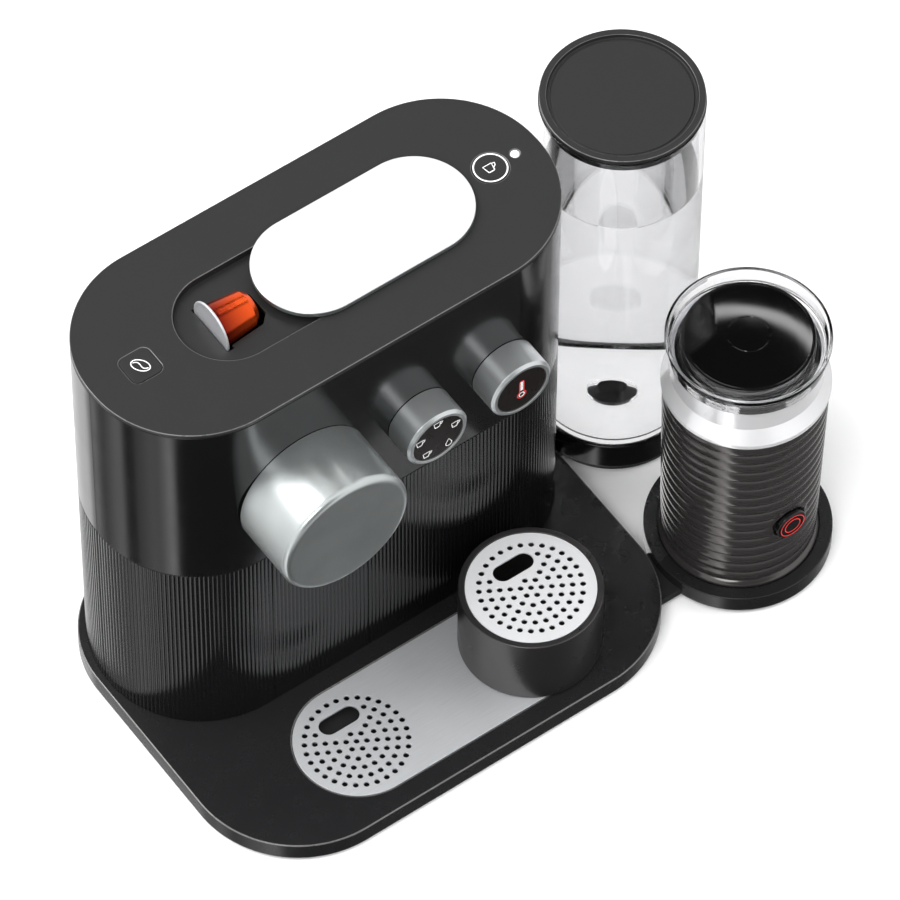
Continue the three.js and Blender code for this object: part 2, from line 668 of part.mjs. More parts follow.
function makeBoards() {
  const t = board.thickness;
  const rear = chassisY - board.standoff;
  const low = body.top - board.belowTop;
  const control = block(board.left, board.right, rear - t, rear, low, low + board.height)
    .add(block(12, 34, rear - 10, rear - t / 2, low + 10, low + 28))
    .add(block(50, 60, rear - 8, rear - t / 2, low + 36, low + 56));
  piece('control_board', control, 'board');
  const front = frontY + body.wall + 3 + gap;
  const z = body.top - dials[0].belowTop;
  const strip = block(dials[0].x - 12, dials[1].x + 12, front + 6, front + 6 + t, z - 12, z + 12);
  const sensors = dials.map(({ x }) => block(x - 6, x + 6, front, front + 7, z - 6, z + 6));
  piece('dial_board', sensors.reduce((whole, sensor) => whole.add(sensor), strip), 'board');
}

function makeInlet() {
  const x = inlet.width / 2 - inlet.wall;
  const z = inlet.height / 2 - inlet.wall;
  const front = half.y - inlet.cavity;
  const socket = inletBox(0, half.y + 0.4)
    .subtract(block(inlet.x - x, inlet.x + x, front, FAR, inlet.z - z, inlet.z + z));
  piece('power_inlet', socket, 'mattBlack');
}

// ---- water tank on its arm -------------------------------------------------------

function makeArm() {
  const length = Math.hypot(tankX - pivot.x, tank.y - pivot.y);
  const bar = new THREE.BoxGeometry(length, 2 * arm.halfWidth, arm.top - arm.bottom)
    .translate(length / 2, 0, (arm.top + arm.bottom) / 2)
    .rotateZ(armAngle)
    .translate(pivot.x, pivot.y, 0);
  const whole = toSolid(bar)
    .add(post(pivot.x, pivot.y, arm.hub, arm.bottom, arm.top, SIDES.medium))
    .add(post(tankX, tank.y, arm.end, arm.bottom, arm.top, SIDES.large))
    .subtract(post(pivot.x, pivot.y, pin.radius + gap, 0, FAR));
  piece('tank_arm', whole, 'mattBlack');
  const pad = turned(sleeve(26, 34, 0, arm.bottom - gap), 0, 0, SIDES.medium);
  piece('arm_foot', pad, 'rubber', tankGroup);
}

function makeDock() {
  const low = arm.top + gap;
  const seat = low + dock.seat;
  const r = dockRadius;
  const bore = tank.radius + gap + 0.2;
  const cup = turned([
    [0, low], [r - 0.8, low], [r, low + 0.8], [r, dock.top - 0.6], [r - 0.6, dock.top],
    [bore, dock.top], [bore, seat], [5.5, seat], [5.5, seat + 3], [0, seat + 3],
  ]);
  piece('tank_dock', cup, 'glossBlack', tankGroup);
}

function makeTank() {
  const seat = arm.top + gap + dock.seat;
  const bore = tank.radius - tank.wall;
  const floorTop = tank.floorZ + tank.floor;
  const rim = tank.top - tankLid.plateThickness - gap;
  const shell = turned([
    [valve.bore, tank.floorZ], [bore, tank.floorZ], [bore, seat + gap], [tank.radius, seat + gap],
    [tank.radius, rim], [bore, rim], [bore, floorTop], [valve.bore, floorTop], [valve.bore, tank.floorZ],
  ]);
  piece('tank_body', shell, 'clear', tankGroup);
  const stem = valve.bore - gap;
  const plug = turned([
    [0, seat + 4], [6, seat + 4], [stem, tank.floorZ], [stem, floorTop + gap],
    [valve.flange, floorTop + gap], [valve.flange, floorTop + 3], [6, floorTop + 7], [0, floorTop + 7],
  ], 0, 0, SIDES.medium);
  piece('tank_valve', plug, 'mattBlack', tankGroup);
}

function makeTankLid() {
  const plateLow = tank.top - tankLid.plateThickness;
  const panel = tank.top - tankLid.panelDepth;
  const skirtLow = plateLow - tankLid.skirt;
  const inner = tank.radius - tankLid.rim;
  const edge = tank.radius - 0.4;
  const skirtOut = tank.radius - tank.wall - gap - 0.2;
  const skirtIn = skirtOut - tankLid.skirtWall;
  const cover = turned([
    [0, plateLow], [skirtIn, plateLow], [skirtIn, skirtLow], [skirtOut, skirtLow],
    [skirtOut, plateLow], [edge, plateLow], [edge, tank.top - 0.5], [edge - 0.5, tank.top],
    [inner, tank.top], [inner - 0.8, panel], [0, panel],
  ]);
  piece('tank_lid', cover, 'topGrey', tankGroup);
}

// ---- milk frother ------------------------------------------------------------------

function makeFrotherBase() {
  const r = frother.baseRadius;
  const top = frother.baseTop;
  const seat = top - frother.seat;
  const seatR = jug.footRadius + 2 * gap;
  const underside = base.bottom + gap;
  const dish = turned([
    [0, underside], [r - 1, underside], [r, underside + 1], [r, top - 0.7], [r - 0.7, top],
    [seatR, top], [seatR, seat], [11, seat], [11, top + 4], [9, top + 5], [0, top + 5],
  ]).subtract(bridgeBox(gap, frotherX, frotherY));
  piece('frother_base', dish, 'satinBlack', frotherGroup);
  piece('frother_foot', turned(sleeve(30, 46, 0, underside - gap)), 'rubber', frotherGroup);
}

function makeJug() {
  const seat = frother.baseTop - frother.seat + gap;
  const socket = frother.baseTop + 5 + gap;
  const hole = rod(frotherButton.radius + gap, buttonFloor, jug.highRadius + 5);
  const shell = turned([
    [0, socket], [11.5, socket], [11.5, seat], [jug.footRadius, seat],
    [jug.footRadius, seat + 4.5], [jug.lowRadius, seat + 6], [jug.highRadius, jug.top],
    [jug.bore, jug.top], [jug.bore, jug.floor], [0, jug.floor],
  ]).subtract(turnedForward(hole, 0, 0, frotherButton.z));
  piece('jug_shell', shell, 'glossBlack', frotherGroup);
}

function makeJugNeck() {
  const low = jug.top + gap;
  const collar = turned([
    [jug.bore, low], [neck.flare, low], [neck.flare, low + 2], [neck.flare - 1, low + 5],
    [neck.radius + 0.8, low + neck.shoulder - 2], [neck.radius, low + neck.shoulder + 1],
    [neck.radius, neck.top], [jug.bore, neck.top], [jug.bore, low],
  ]);
  piece('jug_neck', collar, 'brushedSteel', frotherGroup);
}

function makeLinerAndWhisk() {
  const low = jug.floor + gap;
  const floor = low + liner.wall;
  const outer = jug.bore - gap - 0.1;
  const bore = outer - liner.wall;
  const spindleTop = low + whisk.height + 2;
  const cup = turned([
    [0, low], [outer, low], [outer, liner.top], [bore, liner.top], [bore, floor],
    [whisk.spindle, floor], [whisk.spindle, spindleTop], [0, spindleTop],
  ]);
  piece('jug_liner', cup, 'mattBlack', frotherGroup);
  const whiskLow = floor + 1.5;
  const disc = whiskLow + whisk.thickness;
  const whiskTop = whiskLow + whisk.height;
  const bearing = whisk.spindle + gap;
  const spinner = turned([
    [bearing, whiskLow], [whisk.radius, whiskLow], [whisk.radius, disc], [whisk.hub, disc + 0.5],
    [whisk.hub, whiskTop], [bearing, whiskTop], [bearing, whiskLow],
  ], 0, 0, SIDES.medium);
  piece('whisk', spinner, 'brushedSteel', frotherGroup);
}

function makeFrotherButton() {
  const rear = buttonFloor + frotherButton.travel + gap;
  const knob = rod(frotherButton.radius, rear, jug.highRadius - 1 + frotherButton.proud);
  piece('frother_button', turnedForward(knob, 0, 0, frotherButton.z), 'glossBlack', frotherGroup);
}

function makeFrotherLid() {
  const low = neck.top + gap;
  const seal = liner.top + gap;
  const { top, rimRadius, funnel, discRadius, discEdge, dome, knob } = frotherLid;
  const ringBore = discRadius + gap;
  const ring = turned([
    [ringBore, low], [neck.radius + 0.9, low], [rimRadius, top - 2.5], [rimRadius, top - 0.6],
    [rimRadius - 0.6, top], [rimRadius - 1.7, top], [neck.radius - 0.3, funnel],
    [ringBore, funnel - 1.2], [ringBore, low],
  ]);
  piece('frother_lid_ring', ring, 'clear', frotherGroup);
  const crown = discEdge + dome;
  const dish = turned([
    [0, low], [discRadius - 3, low], [discRadius - 3, seal], [discRadius, seal],
    [discRadius, discEdge], [discRadius - 0.6, discEdge + 0.3], [knob + 0.5, crown],
    [knob, crown - 0.5], [knob - 0.5, crown], [0, crown],
  ]);
  piece('frother_lid_disc', dish, 'glossBlack', frotherGroup);
  const sealRing = sleeve(ringBore, jug.bore - gap - 0.4, seal, neck.top - gap);
  piece('frother_lid_seal', turned(sealRing), 'rubber', frotherGroup);
}

// ---- the object ----------------------------------------------------------------------

makeBase();
makeDripTray();
makeStand();
makeUpperShells();
makeSkirts();
makeCapsuleBin();
makeTop();
makeLid();
makeButton();
makeOutlet();
dials.forEach(makeDial);
makeCapsule();
makeBrewUnit();
makeChassis();
makePump();
makeHeater();
makeBoards();
makeInlet();
makeArm();
makeDock();
makeTank();
makeTankLid();
makeFrotherBase();
makeJug();
makeJugNeck();
makeLinerAndWhisk();
makeFrotherButton();
makeFrotherLid();

const boxLeft = -baseEdge.x;
const boxRight = frotherX + frother.baseRadius;
const boxFront = frotherY - frother.baseRadius;
const boxRear = baseEdge.rear;
machine.position.set(-(boxLeft + boxRight) / 2, -(boxFront + boxRear) / 2, 0);

export default machine;
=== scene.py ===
"""Looks of the pod coffee machine with tank and frother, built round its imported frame.

Lengths are in millimetres in the row frame; the mesh builders turn them into metres.
"""

import json
import math

import bmesh
import bpy
from mathutils import Matrix, Vector

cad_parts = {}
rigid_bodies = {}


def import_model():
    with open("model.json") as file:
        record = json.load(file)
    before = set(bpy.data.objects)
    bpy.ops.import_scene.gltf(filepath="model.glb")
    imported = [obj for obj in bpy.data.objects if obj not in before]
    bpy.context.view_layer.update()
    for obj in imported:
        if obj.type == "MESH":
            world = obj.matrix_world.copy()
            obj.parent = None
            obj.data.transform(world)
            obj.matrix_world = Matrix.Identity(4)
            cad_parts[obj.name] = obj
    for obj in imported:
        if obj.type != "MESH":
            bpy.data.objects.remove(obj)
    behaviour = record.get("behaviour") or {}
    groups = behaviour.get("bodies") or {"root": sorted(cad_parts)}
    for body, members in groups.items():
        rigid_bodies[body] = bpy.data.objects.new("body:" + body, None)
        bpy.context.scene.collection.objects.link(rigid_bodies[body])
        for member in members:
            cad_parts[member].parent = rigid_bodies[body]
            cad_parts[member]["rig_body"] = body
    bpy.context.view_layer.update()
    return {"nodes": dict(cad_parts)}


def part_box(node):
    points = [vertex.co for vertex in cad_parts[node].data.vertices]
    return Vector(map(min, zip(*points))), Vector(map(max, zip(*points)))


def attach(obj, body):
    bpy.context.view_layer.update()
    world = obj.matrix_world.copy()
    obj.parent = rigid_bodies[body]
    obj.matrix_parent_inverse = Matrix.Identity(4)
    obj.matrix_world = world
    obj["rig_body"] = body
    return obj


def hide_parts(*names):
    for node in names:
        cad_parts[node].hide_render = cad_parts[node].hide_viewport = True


MM = 0.001
TURN = 2 * math.pi

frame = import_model()

# ---- driving dimensions of the fine surface ----

ROUND = 160  # sides of a turned piece
BODY = {"half_x": 140.0, "half_y": 62.35, "corner": 60.6, "wall": 2.5}
BASE = {"side": 144.0, "front": -157.2, "rear": 64.5, "front_corner": 63.5}
TRACK = {"left": -84.0, "right": 89.0, "half": 28.5, "wall": 1.5, "floor": 273.5}
LID = {"left": -35.4, "right": 93.2, "half": 32.0}
CARRIAGE_SETBACK = 10.0
PLATE = {"left": -87.8, "right": 95.4, "y": -109.25, "half": 35.4}
GRILLE = {"hole": 1.6, "pitch": 5.57, "rings": 5, "slot": 24.4, "slot_width": 10.8, "slot_y": 16.2}
RIB = {"pitch": 2.4, "depth": 0.3}
JUG_RIB = {"pitch": 8.0, "depth": 0.75}
BADGE = {"half": 9.0, "corner": 4.0}
ARM = {"half": 16.0, "hub": 17.0, "end": 44.5, "clearance": 1.5, "swing": 90.0}
TANK = {"wall": 2.4, "under": 24.0, "floor": 27.5, "valve": 8.3, "water_top": 219.8}
DOCK = {"depth": 18.7, "seat": 4.0, "wall": 2.0}
DRUM_EDGE = 4.0
DIAL_RING = 3.2
CAPSULE_NOSE = 8.2
JUG = {"foot": 43.6, "waist": 42.4, "bore": 39.3, "floor": 30.0}
SINK = {"front": 30.0, "reach": 14.5, "blend": 3.2, "boss": 43.3, "slope": 0.02, "boss_limit": 43.5,
        "hole": 9.9, "floor": 40.55}
FROTHER_BASE = {"top": 14.0, "seat": 12.0, "bowl": 44.2, "hub": 11.0}
JUG_LID = {"disc": 35.6, "funnel": 7.4, "disc_edge": 2.2, "dome": 2.0, "knob": 11.3}
SEAM_GAP = 0.15

# ---- camera and studio ----

CAMERA = {"azimuth": -35.87, "elevation": 54.9, "roll": 0.41, "aim": (-7.3, -6.1, 140), "distance": 4280.9,
          "lens": 325.17, "sensor": 36}

# Brightness of the studio below the horizon, by compass direction in degrees: dark, with upright panels.
PANELS = ((-180, 0.45), (-168, 0.8), (-161, 0.7), (-155, 1.2), (-149, 2.0), (-145, 1.2), (-142, 0.1),
          (-135, 0.04), (-80, 0.04), (-62, 0.08), (-40, 0.14), (-20, 0.24), (0, 0.45), (30, 0.7), (60, 1.0),
          (97, 1.3), (111, 1.7), (121, 0.45), (133, 0.2), (142, 0.42), (150, 0.72), (158, 0.87),
          (163, 0.12),
          (172, 0.1), (177, 0.45), (180, 0.45))

# Round patches of the studio above the horizon: the way to the middle, the cosines at which a patch
# begins and is full, and its brightness.
SKY = (0.95, 0.95, 0.96, 1)
SIDE_BOX = ((-0.53, 0.49, 0.69), 0.93, 0.975, (6.0, 6.0, 6.0, 1))  # a bright panel at the rear left
CLOTH = ((0.2588, 0.3577, 0.8973), 0.84, 0.9, (0.02, 0.02, 0.02, 1))  # a dark cloth high at the rear right
SHADE = ((-0.337, -0.877, 0.342), 0.8, 0.95, (0.08, 0.08, 0.08, 1))  # the dark room in front
SOFT_BOX = ((-0.604, -0.507, 0.616), 0.975, 0.985, (6.0, 6.0, 6.1, 1))  # a bright panel at the front left
HOOP = {"outer": (0.948, 0.957), "inner": (0.961, 0.972), "light": (4.0, 4.0, 4.0, 1)}  # lit, in the cloth
HORIZON = (-0.66, 0.0)


# ---- places taken from the frame ----

def box(node):
    low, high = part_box(node)
    return low / MM, high / MM


def centre(node):
    low, high = box(node)
    return (low + high) / 2


def heights(node):
    low, high = box(node)
    return low.z, high.z


def radius_of(node):
    low, high = box(node)
    return (high.x - low.x) / 2


def radius_of_side(node):
    low, high = box(node)
    return (high.y - low.y) / 2


BODY_X, BODY_Y = centre("top_plate").x, centre("top_plate").y
PLATE_TOP = box("top_plate")[1].z


def row(x, y, z=0.0):
    """A point given from the middle of the machine's body, in the row frame."""
    return Vector((x + BODY_X, y + BODY_Y, z))


# ---- outlines ----

def arc(x, y, radius, start, end, steps=24):
    angles = [start + (end - start) * i / steps for i in range(steps + 1)]
    return [(x + radius * math.cos(a), y + radius * math.sin(a)) for a in angles]


def circle(x, y, radius, sides=96):
    return arc(x, y, radius, 0, TURN, sides)[:-1]


def stadium(left, right, y, radius, steps=48):
    quarter = math.pi / 2
    return (arc(right - radius, y, radius, -quarter, quarter, steps)
            + arc(left + radius, y, radius, quarter, 3 * quarter, steps))


def rounded_rectangle(left, right, front, rear, front_corner, rear_corner, steps=32):
    quarter = math.pi / 2
    return (arc(right - front_corner, front + front_corner, front_corner, -quarter, 0, steps)
            + arc(right - rear_corner, rear - rear_corner, rear_corner, 0, quarter, steps)
            + arc(left + rear_corner, rear - rear_corner, rear_corner, quarter, 2 * quarter, steps)
            + arc(left + front_corner, front + front_corner, front_corner, 2 * quarter, 3 * quarter, steps))


def from_body(loop):
    return [(x + BODY_X, y + BODY_Y) for x, y in loop]


def body_outline():
    x, y, corner = BODY["half_x"], BODY["half_y"], BODY["corner"]
    return rounded_rectangle(-x, x, -y, y, corner, corner)


def grille_loops(x, y):
    """The finger slot and the rings of drip holes about a middle point."""
    slot_y, half = y + GRILLE["slot_y"], GRILLE["slot_width"] / 2
    straight = GRILLE["slot"] / 2 - half
    loops = [stadium(x - GRILLE["slot"] / 2, x + GRILLE["slot"] / 2, slot_y, half, 16)]
    for ring in range(GRILLE["rings"] + 1):
        count = max(1, 6 * ring)
        turn = math.pi / count if ring % 2 else 0
        for i in range(count):
            angle = turn + TURN * i / count
            hole = (x + GRILLE["pitch"] * ring * math.cos(angle),
                    y + GRILLE["pitch"] * ring * math.sin(angle))
            beside = max(0, abs(hole[0] - x) - straight)
            if math.hypot(beside, hole[1] - slot_y) > half + 1.6 * GRILLE["hole"]:
                loops.append(circle(*hole, GRILLE["hole"], 24))
    return loops


def filleted(profile, steps=5):
    """The profile with an arc at each corner given as (a, b, radius)."""
    result = []
    last = len(profile) - 1
    for i, corner in enumerate(profile):
        point = Vector(corner[:2])
        radius = corner[2] if len(corner) > 2 else 0
        if radius == 0 or i in (0, last):
            result.append(tuple(point))
            continue
        into = (Vector(profile[i - 1][:2]) - point).normalized()
        out = (Vector(profile[i + 1][:2]) - point).normalized()
        half = into.angle(out) / 2
        reach = radius / math.tan(half)
        middle = point + (into + out).normalized() * (radius / math.sin(half))
        start, end = point + into * reach - middle, point + out * reach - middle
        turn = start.angle_signed(end)
        for k in range(steps + 1):
            around = Matrix.Rotation(-turn * k / steps, 2)
            result.append(tuple(middle + around @ start))
    return result


# ---- mesh builders ----

UPRIGHT = Matrix.Identity(3)
FORWARD = Matrix(((1, 0, 0), (0, 0, -1), (0, 1, 0)))  # for a turned piece that points to the front
ACROSS = Matrix(((0, 0, 1), (1, 0, 0), (0, 1, 0)))  # a turned piece whose axis points along +X


def add_mesh(name, points, faces, sharp=38):
    """A shown piece from millimetre points, smooth but for its sharp corners."""
    mesh = bpy.data.meshes.new(name)
    mesh.from_pydata([tuple(MM * c for c in p) for p in points], [], faces)
    shape = bmesh.new()
    shape.from_mesh(mesh)
    bmesh.ops.remove_doubles(shape, verts=shape.verts, dist=2e-7)
    bmesh.ops.recalc_face_normals(shape, faces=shape.faces)
    shape.to_mesh(mesh)
    shape.free()
    return show(name, mesh, sharp)


def show(name, mesh, sharp=38):
    mesh.shade_smooth()
    mesh.set_sharp_from_angle(angle=math.radians(sharp))
    shown = bpy.data.objects.new(name, mesh)
    bpy.context.scene.collection.objects.link(shown)
    even = shown.modifiers.new("even", "WEIGHTED_NORMAL")
    even.keep_sharp = True
    return shown


def turned(name, profile, place, axes=UPRIGHT, sides=ROUND, sharp=38):
    """A (radius, height) profile turned about the axis through place."""
    points, rings, faces = [], [], []
    for radius, height in profile:
        if radius < 1e-6:
            rings.append([len(points)])
            points.append(place + axes @ Vector((0, 0, height)))
            continue
        rings.append(list(range(len(points), len(points) + sides)))
        for i in range(sides):
            a = TURN * i / sides
            points.append(place + axes @ Vector((radius * math.cos(a), radius * math.sin(a), height)))
    for lower, upper in zip(rings, rings[1:]):
        if len(lower) == 1 and len(upper) == 1:
            continue
        for i in range(sides):
            j = (i + 1) % sides
            quad = [lower[i % len(lower)], lower[j % len(lower)], upper[j % len(upper)],
                    upper[i % len(upper)]]
            faces.append(tuple(dict.fromkeys(quad)))
    return add_mesh(name, points, faces, sharp)


def plate(name, loops, low, high, edge=0.3, sharp=38):
    """A flat piece between two heights: the first loop is its outline and the others are holes."""
    outline = bpy.data.curves.new(name, "CURVE")
    outline.dimensions = "2D"
    outline.fill_mode = "BOTH"
    outline.extrude = MM * ((high - low) / 2 - edge)
    outline.bevel_depth = MM * edge
    outline.bevel_resolution = 2
    outline.offset = -MM * edge
    for loop in loops:
        spline = outline.splines.new("POLY")
        spline.points.add(len(loop) - 1)
        for point, (x, y) in zip(spline.points, loop):
            point.co = (MM * x, MM * y, 0, 1)
        spline.use_cyclic_u = True
    carrier = bpy.data.objects.new(name, outline)
    bpy.context.scene.collection.objects.link(carrier)
    graph = bpy.context.evaluated_depsgraph_get()
    mesh = bpy.data.meshes.new_from_object(carrier.evaluated_get(graph))
    bpy.data.objects.remove(carrier)
    shape = bmesh.new()
    shape.from_mesh(mesh)
    bmesh.ops.remove_doubles(shape, verts=shape.verts, dist=2e-7)
    bmesh.ops.recalc_face_normals(shape, faces=shape.faces)
    bmesh.ops.translate(shape, verts=shape.verts, vec=(0, 0, MM * (low + high) / 2))
    shape.to_mesh(mesh)
    shape.free()
    mesh.name = name
    return show(name, mesh, sharp)


def joined(name, *parts):
    """The parts' meshes as one piece."""
    shape = bmesh.new()
    for part in parts:
        part.data.transform(part.matrix_world)
        shape.from_mesh(part.data)
        bpy.data.objects.remove(part)
    mesh = bpy.data.meshes.new(name)
    shape.to_mesh(mesh)
    shape.free()
    return show(name, mesh)


def cut(target, *cutters):
    """Takes the cutters' space out of the target and removes the cutters."""
    target.modifiers.clear()
    for cutter in cutters:
        cutter.modifiers.clear()
        boolean = target.modifiers.new("cut", "BOOLEAN")
        boolean.operation = "DIFFERENCE"
        boolean.solver = "EXACT"
        boolean.object = cutter
    graph = bpy.context.evaluated_depsgraph_get()
    mesh = bpy.data.meshes.new_from_object(target.evaluated_get(graph))
    name = target.name
    for old in (target, *cutters):
        bpy.data.objects.remove(old)
    mesh.name = name
    return show(name, mesh)


STRAIGHT = BODY["half_x"] - BODY["corner"]
FLAT = 2 * (BODY["half_y"] - BODY["corner"])
BEND = BODY["corner"] * math.pi / 2
AROUND = 4 * STRAIGHT + 2 * FLAT + 4 * BEND
SEAM = STRAIGHT + BEND + FLAT / 2 + 2.0  # from the front middle to the seam at either end


def along_body(s):
    """The point and outward normal at a length along the body's outline, from its front middle to +X."""
    s %= AROUND
    mirrored = s > AROUND / 2
    if mirrored:
        s = AROUND - s
    if s <= STRAIGHT:
        x, y, nx, ny = s, -BODY["half_y"], 0, -1
    elif s <= STRAIGHT + BEND:
        a = -math.pi / 2 + (s - STRAIGHT) / BODY["corner"]
        nx, ny = math.cos(a), math.sin(a)
        x, y = STRAIGHT + BODY["corner"] * nx, -FLAT / 2 + BODY["corner"] * ny
    elif s <= STRAIGHT + BEND + FLAT:
        x, y, nx, ny = BODY["half_x"], s - STRAIGHT - BEND - FLAT / 2, 1, 0
    elif s <= STRAIGHT + 2 * BEND + FLAT:
        a = (s - STRAIGHT - BEND - FLAT) / BODY["corner"]
        nx, ny = math.cos(a), math.sin(a)
        x, y = STRAIGHT + BODY["corner"] * nx, FLAT / 2 + BODY["corner"] * ny
    else:
        x, y, nx, ny = AROUND / 2 - s, BODY["half_y"], 0, 1
    side = -1 if mirrored else 1
    return side * x, y, side * nx, ny


def wall(name, start, end, low, high, ribs=None, edge=0.5):
    """A stretch of the body's wall, smooth or ribbed, between two lengths and two heights."""
    length = end - start
    if ribs:
        count = round(length / ribs["pitch"])
        phases = (0, 0.07, 0.16, 0.3, 0.5, 0.7, 0.84, 0.93)
        stations = [((i + u) / count, (2 * u - 1) ** 2 * ribs["depth"]) for i in range(count) for u in phases]
        stations.append((1, ribs["depth"]))
    else:
        count = max(8, round(length / 1.5))
        stations = [(i / count, 0) for i in range(count + 1)]
    section = filleted([(BODY["wall"], (low + high) / 2), (BODY["wall"], low), (0, low, edge),
                        (0, high, edge),
                        (BODY["wall"], high), (BODY["wall"], (low + high) / 2)], 3)[:-1]
    points, faces = [], []
    width = len(section)
    for part, groove in stations:
        x, y, nx, ny = along_body(start + part * length)
        for inset, z in section:
            inward = max(inset, groove)
            points.append(row(x - nx * inward, y - ny * inward, z))
    for c in range(len(stations) - 1):
        for r in range(width):
            n = (r + 1) % width
            faces.append((c * width + r, c * width + n, (c + 1) * width + n, (c + 1) * width + r))
    faces.append(tuple(range(width)))
    faces.append(tuple(range((len(stations) - 1) * width, len(stations) * width)))
    return add_mesh(name, points, faces, 50)


def ribbon(name, strokes, place, axes, rise=0.1):
    """Thin raised strokes in the plane of axes' first two columns; each is (points, width, closed)."""
    points, faces = [], []
    for line, width, closed in strokes:
        first, count = len(points), len(line)
        for i, (x, y) in enumerate(line):
            before = Vector(line[i - 1]) if closed or i else Vector(line[i])
            after = Vector(line[(i + 1) % count]) if closed or i < count - 1 else Vector(line[i])
            run = (after - before).normalized()
            side = Vector((-run.y, run.x)) * width / 2
            for sign, height in ((1, -rise), (-1, -rise), (-1, rise), (1, rise)):
                local = Vector((x + sign * side.x, y + sign * side.y, height))
                points.append(place + axes @ local)
        for i in range(count if closed else count - 1):
            a, b = first + 4 * i, first + 4 * ((i + 1) % count)
            faces += [(a + k, a + (k + 1) % 4, b + (k + 1) % 4, b + k) for k in range(4)]
        if not closed:
            faces += [(first, first + 1, first + 2, first + 3),
                      tuple(first + 4 * (count - 1) + k for k in range(4))]
    return add_mesh(name, points, faces)


# ---- materials ----

def linear(value):
    value /= 255
    return value / 12.92 if value <= 0.04045 else ((value + 0.055) / 1.055) ** 2.4


def colour(r, g, b):
    return (linear(r), linear(g), linear(b), 1)


class Finish:
    """A material being built: its shader, its nodes and its links."""

    def __init__(self, name, base, roughness, metallic=0.0, **sockets):
        self.material = bpy.data.materials.new(name)
        self.material.use_nodes = True
        self.nodes = self.material.node_tree.nodes
        self.links = self.material.node_tree.links
        self.shader = self.nodes["Principled BSDF"]
        self.place = self.nodes.new("ShaderNodeTexCoord").outputs["Object"]
        self.normal = None
        self.set("Base Color", base)
        self.set("Roughness", roughness)
        self.set("Metallic", metallic)
        for socket, value in sockets.items():
            self.set(socket.replace("_", " "), value)

    def set(self, socket, value):
        self.shader.inputs[socket].default_value = value

    def stretched(self, x, y, z):
        mapping = self.nodes.new("ShaderNodeMapping")
        mapping.inputs["Scale"].default_value = (x, y, z)
        self.links.new(self.place, mapping.inputs["Vector"])
        return mapping.outputs["Vector"]

    def noise(self, size, detail=2.0, place=None, rough=0.5):
        """Noise whose features are about size millimetres across."""
        noise = self.nodes.new("ShaderNodeTexNoise")
        noise.inputs["Scale"].default_value = 1 / (MM * size)
        noise.inputs["Detail"].default_value = detail
        noise.inputs["Roughness"].default_value = rough
        self.links.new(place or self.place, noise.inputs["Vector"])
        return noise.outputs["Fac"]

    def spread(self, source, low, high, start=0.3, end=0.7):
        spread = self.nodes.new("ShaderNodeMapRange")
        for socket, value in (("From Min", start), ("From Max", end), ("To Min", low), ("To Max", high)):
            spread.inputs[socket].default_value = value
        self.links.new(source, spread.inputs["Value"])
        return spread.outputs["Result"]

    def rough(self, source, low, high):
        self.links.new(self.spread(source, low, high), self.shader.inputs["Roughness"])
        return self

    def tint(self, source, first, second, start=0.3, end=0.7):
        ramp = self.nodes.new("ShaderNodeValToRGB")
        ramp.color_ramp.elements[0].position = start
        ramp.color_ramp.elements[0].color = first
        ramp.color_ramp.elements[1].position = end
        ramp.color_ramp.elements[1].color = second
        self.links.new(source, ramp.inputs["Fac"])
        self.links.new(ramp.outputs["Color"], self.shader.inputs["Base Color"])
        return self

    def bump(self, source, height, strength=1.0):
        """Relief of about height millimetres."""
        bump = self.nodes.new("ShaderNodeBump")
        bump.inputs["Distance"].default_value = MM * height
        bump.inputs["Strength"].default_value = strength
        self.links.new(source, bump.inputs["Height"])
        if self.normal:
            self.links.new(self.normal, bump.inputs["Normal"])
        self.normal = bump.outputs["Normal"]
        self.links.new(self.normal, self.shader.inputs["Normal"])
        return self


